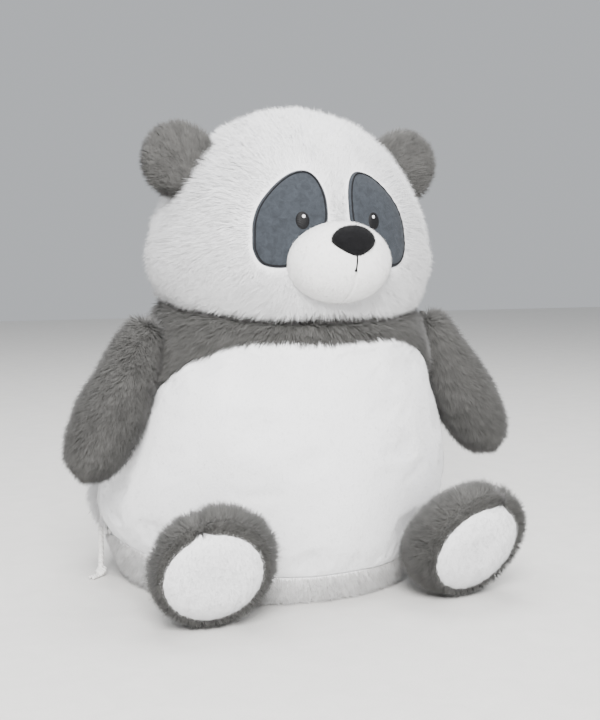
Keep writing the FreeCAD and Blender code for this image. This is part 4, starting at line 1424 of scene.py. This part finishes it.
class Limb(Piecework):
    """What arms, legs and ears share: a closed skin of sections along a local axis."""

    def skin(self, rows: Sequence[Sequence[float]], side: float, turn: Array, place: Array,
             columns: int = 121, count: int = 90) -> Skin:
        """Sections along local +Z, turned and moved to the joint.

        Each section is an ellipse: shift plus half width times cosine across, and lift plus half
        depth times sine up.

        Args:
            rows: along, half width, half depth, shift and lift of each section.
            side: -1 for the right, 1 for the left.
            turn: 3x3 matrix that turns the limb.
            place: the joint in metres.
            columns: points round a section.
            count: sections on the grid.

        Returns:
            The closed skin.
        """
        around = np.linspace(0, 2 * math.pi, columns)
        along, wide, deep, shift, lift = np.moveaxis(
            smooth_rows(np.array(rows), np.linspace(0, len(rows) - 1.0, count)), -1, 0)
        local = np.stack([side * shift[:, None] + np.maximum(wide, 0.3)[:, None] * np.cos(around),
                          lift[:, None] + np.maximum(deep, 0.3)[:, None] * np.sin(around),
                          np.broadcast_to(along[:, None], (count, columns))], axis=-1) * MM
        return Skin(local).moved(turn, place)

    def tab(self, name: str, body: str, node: str) -> None:
        """A small round stitched tab inside a joint, as wide and thick as its node.

        Args:
            name: the object's name.
            body: the frame's body.
            node: CAD node that it stands for.
        """
        low, high = (np.array(corner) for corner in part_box(node))
        middle, half = (low + high) / 2, (high - low) / 2
        ball = globe(33, 17, 0.02)
        self.fix(skin_mesh(name, Skin(middle + ball * half)), body, "tab_cloth", [node])


def rotation(axis: str, degrees: float) -> Array:
    """The 3x3 matrix of a turn about X, Y or Z.

    Args:
        axis: "X", "Y" or "Z".
        degrees: the turn.

    Returns:
        The matrix.
    """
    first, second = {"X": (1, 2), "Y": (2, 0), "Z": (0, 1)}[axis]
    matrix = np.eye(3)
    cosine, sine = math.cos(math.radians(degrees)), math.sin(math.radians(degrees))
    matrix[first, first] = matrix[second, second] = cosine
    matrix[first, second], matrix[second, first] = -sine, sine
    return matrix


@dataclass
class ArmSizes(LimbSizes):
    """An arm hangs from the shoulder, out by lean and forward by swing, in degrees."""

    rows: tuple[tuple[float, ...], ...] = (
        (3.0, 1.5, 1.5, 0.0, 0.0), (6.0, 8.5, 8.0, 0.0, 0.0), (14.0, 12.0, 11.0, 0.0, 0.0),
        (40.0, 16.0, 14.5, 0.0, 0.0), (70.0, 18.8, 17.0, 0.0, 0.0), (92.0, 16.5, 15.0, 0.0, 0.0),
        (104.0, 10.5, 9.5, 0.0, 0.0), (109.0, 1.5, 1.5, 0.0, 0.0))
    joint: tuple[float, float, float] = (102.0, -52.0, 187.0)
    lean: float = 27.0
    swing: float = 9.0


class Arms(Limb):
    """Both arms, with their pile and shoulder tabs."""

    sizes = ArmSizes()

    def build(self) -> None:
        """Make each arm."""
        sizes = self.sizes
        pile = Pile(9.2 * MM, 0.28 * MM, 49.0, 3.6 * MM, pull=0.32, swirl=0.45, jitter=0.2)
        for number, (name, side) in enumerate(SIDES.items()):
            turn = rotation("X", -sizes.swing) @ rotation("Y", 180.0 - side * sizes.lean)
            place = np.array([side * sizes.joint[0], *sizes.joint[1:]]) * MM
            skin = stuffed(self.skin(sizes.rows, side, turn, place), 2.5, 0.01, 1.5 * MM)
            self.fix(skin_mesh(f"{name}_arm", skin), f"{name}_arm", "grey_long_pile",
                     [f"{name}_arm_cover", f"{name}_arm_filling"], ground=True, fill=0.85)
            down = turn @ np.array([0.0, 0.0, 1.0])

            def comb(points: Array, down: Array = down) -> Array:
                """Along the arm to the hand."""
                return np.tile(down, (len(points), 1))

            self.fix(grow_pile(f"{name}_arm_pile", skin, pile, 28000, comb, 41 + number), f"{name}_arm",
                     "grey_long_pile")
            self.tab(f"{name}_shoulder_stitch", f"{name}_shoulder", f"{name}_shoulder_tab")


@dataclass
class LegSizes(LimbSizes):
    """A leg points forward from the hip, tipped down and turned out, in degrees."""

    rows: tuple[tuple[float, ...], ...] = (
        (3.0, 1.5, 1.5, 0.6, 1.5), (4.5, 8.0, 8.0, 0.8, 2.1), (12.0, 19.0, 19.5, 2.0, 5.6),
        (22.5, 30.5, 33.0, 4.0, 13.0), (36.0, 36.0, 39.5, 6.4, 20.0), (44.5, 34.5, 37.5, 8.1, 22.6),
        (48.0, 30.5, 34.2, 8.5, 22.6), (48.2, 2.0, 2.0, 8.5, 22.8))
    joint: tuple[float, float, float] = (78.0, -98.0, 38.0)
    turn_out: float = 6.5
    tip_down: float = 23.5
    sole_half: tuple[float, float] = (32.4, 34.2)
    sole_middle: tuple[float, float, float] = (8.5, 20.4, 46.2)
    sole_rise: float = 6.0
    crease_place: float = 0.35
    crease_depth: float = 4.5


def near_rim(points: Array, along: Field) -> Array:
    """How close points are to the edge of the sole, from 0 to 1."""
    return np.clip((along(points) / MM - 40.0) / 6.0, 0.0, 1.0)


class Legs(Limb):
    """Both legs, with their pile, sole pads and hip tabs."""

    sizes = LegSizes()

    def build(self) -> None:
        """Make each leg."""
        sizes = self.sizes
        pile = Pile(9.0 * MM, 0.26 * MM, 44.0, 3.2 * MM, pull=0.24, swirl=0.7, jitter=0.28)
        nap = Pile(1.8 * MM, 0.15 * MM, 45.0, 3.0 * MM, pull=0.2, swirl=0.8, jitter=0.35)
        for number, (name, side) in enumerate(SIDES.items()):
            turn = rotation("Z", side * sizes.turn_out) @ rotation("X", 90.0 + sizes.tip_down)
            place = np.array([side * sizes.joint[0], *sizes.joint[1:]]) * MM
            skin = stuffed(self.creased(self.skin(sizes.rows, side, turn, place), side), 2.5, 0.01, 1.5 * MM)
            self.fix(skin_mesh(f"{name}_foot", skin), f"{name}_leg", "grey_long_pile",
                     [f"{name}_leg_cover", f"{name}_leg_filling"], ground=True, fill=0.9)
            ahead = turn @ np.array([0.0, 0.0, 1.0])
            rim = sizes.sole_middle[2] * MM

            def along(points: Array, place: Array = place, ahead: Array = ahead) -> Array:
                """Distance forward from the hip."""
                return (points - place) @ ahead

            middle = place + turn @ (np.array([side * sizes.sole_middle[0], sizes.sole_middle[1], 0.0]) * MM)

            def cover(points: Array, along: Field = along, turn: Array = turn,
                      middle: Array = middle) -> Array:
                """Full at the hip, shorter by the sole, and none under the sole."""
                local = ((points - middle) @ turn)[:, :2] / (np.array(sizes.sole_half) * MM)
                bare = (along(points) > rim - 3.0 * MM) & (np.linalg.norm(local, axis=1) < 0.98)
                return np.where(bare, 0.0, 1.0 - 0.4 * near_rim(points, along))

            def lay(points: Array, ahead: Array = ahead, along: Field = along,
                    middle: Array = middle) -> Array:
                """Back towards the hip, and upright where the foot rolls over to the sole."""
                near = near_rim(points, along)[:, None]
                out = points - middle
                upright = unit(out - (out @ ahead)[:, None] * ahead) * 0.8 + ahead * 0.75
                return (1.0 - near) * (-ahead + np.array([0.0, 0.0, -0.25])) + near * upright

            self.fix(grow_pile(f"{name}_leg_pile", skin, pile, 28000, lay, 51 + number, cover), f"{name}_leg",
                     "grey_long_pile")
            sole = stuffed(self.sole(side, turn, place), 3.0, 0.0, 1.6 * MM)
            self.fix(skin_mesh(f"{name}_sole", sole), f"{name}_leg", "white_short_pile", [f"{name}_sole_pad"],
                     fill=0.8)

            def front(points: Array, rim: float = rim, along: Field = along) -> Array:
                """Full on the face of the sole."""
                return (along(points) > rim - 0.5 * MM) * 1.0

            self.fix(grow_pile(f"{name}_sole_nap", sole, nap, 5000, falling, 61 + number, front),
                     f"{name}_leg", "white_short_pile")
            self.tab(f"{name}_hip_stitch", f"{name}_hip", f"{name}_hip_tab")

    def creased(self, skin: Skin, side: float) -> Skin:
        """A foot with a crease over its top: a groove along the foot, deepest by the sole.

        Args:
            skin: the plain foot.
            side: -1 for the right, 1 for the left.

        Returns:
            The creased foot.
        """
        sizes = self.sizes
        around = np.linspace(0, 2 * math.pi, skin.points.shape[1])[None, :]
        run = np.linspace(0.0, 1.0, skin.points.shape[0])[:, None]
        off = around - (math.pi / 2 - side * sizes.crease_place)
        deep = np.clip((run - 0.35) / 0.3, 0.0, 1.0) * np.clip((0.9 - run) / 0.1, 0.0, 1.0)
        return skin.raised(-sizes.crease_depth * deep * np.exp(-(off / 0.13) ** 2) * MM)

    def sole(self, side: float, turn: Array, place: Array) -> Skin:
        """A crowned pad: rings shrink to its middle, the front rises with one minus the fourth power
        of a ring's size, its edge is gathered in small puckers, and a flat back closes it.

        Args:
            side: -1 for the right, 1 for the left.
            turn: 3x3 matrix that turns the leg.
            place: the hip in metres.

        Returns:
            The closed pad.
        """
        sizes = self.sizes
        around = np.linspace(0, 2 * math.pi, 121)
        ring = np.concatenate([np.linspace(0.02, 1.0, 20), np.linspace(1.0, 0.02, 30)])[:, None]
        front = (np.arange(50) >= 20)[:, None]
        pucker = 0.2 * np.sin(around * 26 + 2 * np.sin(around * 5)) * np.exp(-(1 - ring) * 9.0)
        rise = np.where(front, sizes.sole_rise * (1 - ring ** 4) + 0.6 + pucker, -1.0)
        across, up, out = sizes.sole_middle
        local = np.stack([side * across + sizes.sole_half[0] * ring * np.cos(around),
                          up + sizes.sole_half[1] * ring * np.sin(around), out + rise], axis=-1) * MM
        local[:, -1] = local[:, 0]
        return Skin(local).moved(turn, place)


@dataclass
class EarSizes:
    """An ear in millimetres: middle, half width, half thickness and dish of its front."""

    middle: tuple[float, float, float] = (82.0, -56.0, 293.0)
    half: tuple[float, float, float] = (21.5, 8.0, 21.5)
    dish: float = 3.0


class Ears(Limb):
    """Both ears, dished a little at the front, with their pile."""

    sizes = EarSizes()

    def build(self) -> None:
        """Make each ear: an ellipsoid whose front is pressed in by the dish times one minus the
        square of the distance from its middle."""
        sizes = self.sizes
        pile = Pile(8.2 * MM, 0.28 * MM, 44.0, 3.4 * MM, pull=0.3, swirl=0.5, jitter=0.2)
        ball = globe(97, 61, 0.03)
        edge = ball[..., 0] ** 2 + ball[..., 2] ** 2
        for number, (name, side) in enumerate(SIDES.items()):
            shape = ball * np.array(sizes.half)
            shape[..., 1] += sizes.dish * (1 - edge) * (ball[..., 1] < 0)
            middle = np.array([side * sizes.middle[0], *sizes.middle[1:]])
            skin = Skin((shape + middle) * MM)
            self.fix(skin_mesh(f"{name}_ear_cover", skin), f"{name}_ear", "grey_long_pile",
                     [f"{name}_ear_front", f"{name}_ear_back", f"{name}_ear_filling"], ground=True, fill=0.6)
            root = np.array([side * 0.045, -0.056, 0.265])

            def comb(points: Array, root: Array = root) -> Array:
                """Away from the ear's root."""
                return (points - root) * np.array([1.0, 0.2, 1.0])

            self.fix(grow_pile(f"{name}_ear_pile", skin, pile, 12000, comb, 71 + number), f"{name}_ear",
                     "grey_long_pile")


class Neck(Piecework):
    """The stuffed ball that joins the head to the body, under the pile."""

    def build(self) -> None:
        """Make the ball from its node's box: an ellipsoid with a slow wave."""
        low, high = (np.array(corner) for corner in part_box("neck_filling"))
        ball = globe(65, 33, 0.03)
        skin = Skin((low + high) / 2 + ball * ((high - low) / 2 - 1.0 * MM))
        self.fix(skin_mesh("neck_ball", skin.raised(0.5 * MM * ripple(skin.points, 25 * MM, 9))), "neck",
                 "fibre_filling", ["neck_filling"], fill=0.9)


@dataclass
class ZipSizes:
    """The zip round the back in millimetres, and where it starts and ends in degrees."""

    radius: float = 118.0
    height: float = 36.0
    gap: float = 1.4
    tape_tall: float = 8.0
    tape_thick: float = 1.0
    tape_flare: float = 3.1
    tooth: tuple[float, float, float] = (1.6, 1.5, 1.7)
    pitch: float = 2.4
    tape_span: tuple[float, float] = (1.5, 178.5)
    teeth_span: tuple[float, float] = (4.0, 176.0)
    stop_places: tuple[float, float] = (2.3, 177.7)
    stop_half: tuple[float, float, float] = (1.0, 1.4, 2.9)


class Zip(Piecework):
    """Tapes, teeth and end stops round the back. The slider keeps its CAD shape."""

    sizes = ZipSizes()

    def build(self) -> None:
        """Make the tapes, the rows of teeth and the stops, and dress the slider."""
        sizes = self.sizes
        inner = sizes.radius - sizes.tooth[0] - sizes.tape_thick
        top = sizes.height + sizes.gap / 2
        bottom = sizes.height - sizes.gap / 2
        upper = [(inner, top), (inner + sizes.tape_flare, top + sizes.tape_tall)]
        lower = [(inner - sizes.tape_flare, bottom - sizes.tape_tall), (inner, bottom)]
        for name, line in (("upper_tape", upper), ("lower_tape", lower)):
            self.fix(self.tape(name, line), "torso", "zip_tape", [f"zip_{name}"])
        teeth = np.concatenate([self.teeth(1.0), self.teeth(-1.0)])
        self.fix(self.blocks("zip_coil", teeth, np.array(sizes.tooth) / 2), "torso", "zip_coil",
                 ["zip_teeth"])
        places = np.radians(sizes.stop_places)
        middle = sizes.radius - sizes.tooth[0] / 2 + 0.3
        stops = np.stack([middle * np.cos(places), middle * np.sin(places), np.full(2, sizes.height),
                          places], axis=-1)
        self.fix(self.blocks("zip_stops", stops, np.array(sizes.stop_half)), "torso", "zip_coil",
                 ["zip_end_stops"])
        for node in ("zip_slider_body", "zip_slider_eye"):
            self.finishes.dress(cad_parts[node], "zip_slider")

    def tape(self, name: str, line: list[tuple[float, float]]) -> bpy.types.Object:
        """A band of tape: a thin closed section between two points, carried round the arc.

        Args:
            name: the object's name.
            line: radius and height of the two edges in millimetres.

        Returns:
            The band.
        """
        sizes = self.sizes
        (low_radius, low), (high_radius, high) = line
        thick = sizes.tape_thick
        section = np.array([(low_radius, low), (high_radius, high), (high_radius + thick, high),
                            (low_radius + thick, low), (low_radius, low)])
        places = np.radians(np.linspace(*sizes.tape_span, 181))[:, None]
        points = np.stack([section[:, 0] * np.cos(places), section[:, 0] * np.sin(places),
                           np.broadcast_to(section[:, 1], (181, 5))], axis=-1) * MM
        piece = skin_mesh(name, Skin(points[::-1]))
        piece.data.polygons.foreach_set("use_smooth", np.zeros(len(piece.data.polygons), dtype=bool))
        return piece

    def teeth(self, side: float) -> Array:
        """Places of one row of teeth: x, y, z in millimetres and the angle round the body.

        Args:
            side: 1 for the upper row, -1 for the lower.

        Returns:
            One row of numbers for each tooth.
        """
        sizes = self.sizes
        step = math.degrees(sizes.pitch / sizes.radius)
        places = np.radians(np.arange(*sizes.teeth_span, step) + (0.5 * step if side > 0 else 0.0))
        middle = sizes.radius - sizes.tooth[0] / 2
        level = sizes.height + side * (sizes.gap + sizes.tooth[2]) / 2
        return np.stack([middle * np.cos(places), middle * np.sin(places), np.full(len(places), level),
                         places], axis=-1)

    def blocks(self, name: str, places: Array, half: Array) -> bpy.types.Object:
        """Many small rounded blocks in one mesh: a ball drawn out towards a box, 24 faces each.

        Args:
            name: the object's name.
            places: x, y, z and angle of each block.
            half: half sizes in millimetres.

        Returns:
            The mesh of all blocks.
        """
        turn, rise = np.meshgrid(np.linspace(0, 2 * math.pi, 9)[:-1] + math.pi / 8, np.linspace(0.5, 2.64, 3))
        ball = np.stack([np.sin(rise) * np.cos(turn), np.sin(rise) * np.sin(turn), -np.cos(rise)], axis=-1)
        ball = (np.sign(ball) * np.abs(ball) ** 0.45).reshape(-1, 3) * half
        cosine, sine = np.cos(places[:, 3])[:, None], np.sin(places[:, 3])[:, None]
        points = np.stack([places[:, :1] + ball[:, 0] * cosine - ball[:, 1] * sine,
                           places[:, 1:2] + ball[:, 0] * sine + ball[:, 1] * cosine,
                           places[:, 2:3] + np.broadcast_to(ball[:, 2], (len(places), len(ball)))], axis=-1)
        numbers = np.arange(24).reshape(3, 8)
        right = np.roll(numbers, -1, axis=1)
        quads = np.stack([numbers[:-1], right[:-1], right[1:], numbers[1:]], axis=-1).reshape(-1, 4)
        caps = np.array([[0, n + 1, n] for n in range(1, 7)] + [[16, 16 + n, 17 + n] for n in range(1, 7)])
        start = (np.arange(len(places)) * 24)[:, None, None]
        return put_mesh(name, points.reshape(-1, 3) * MM, (quads + start).reshape(-1, 4),
                        (caps + start).reshape(-1, 3))


def main() -> None:
    """Build the scene: camera, cord, covers and pile, face, limbs and zip, then the studio."""
    logging.basicConfig(level=logging.INFO)
    Camera().place()
    finishes = Finishes()
    for maker in (Pull, Body, Head, Neck, Ears, Arms, Legs, Zip):
        maker(finishes).build()
    Studio().build()


if __name__ == "__main__":
    main()
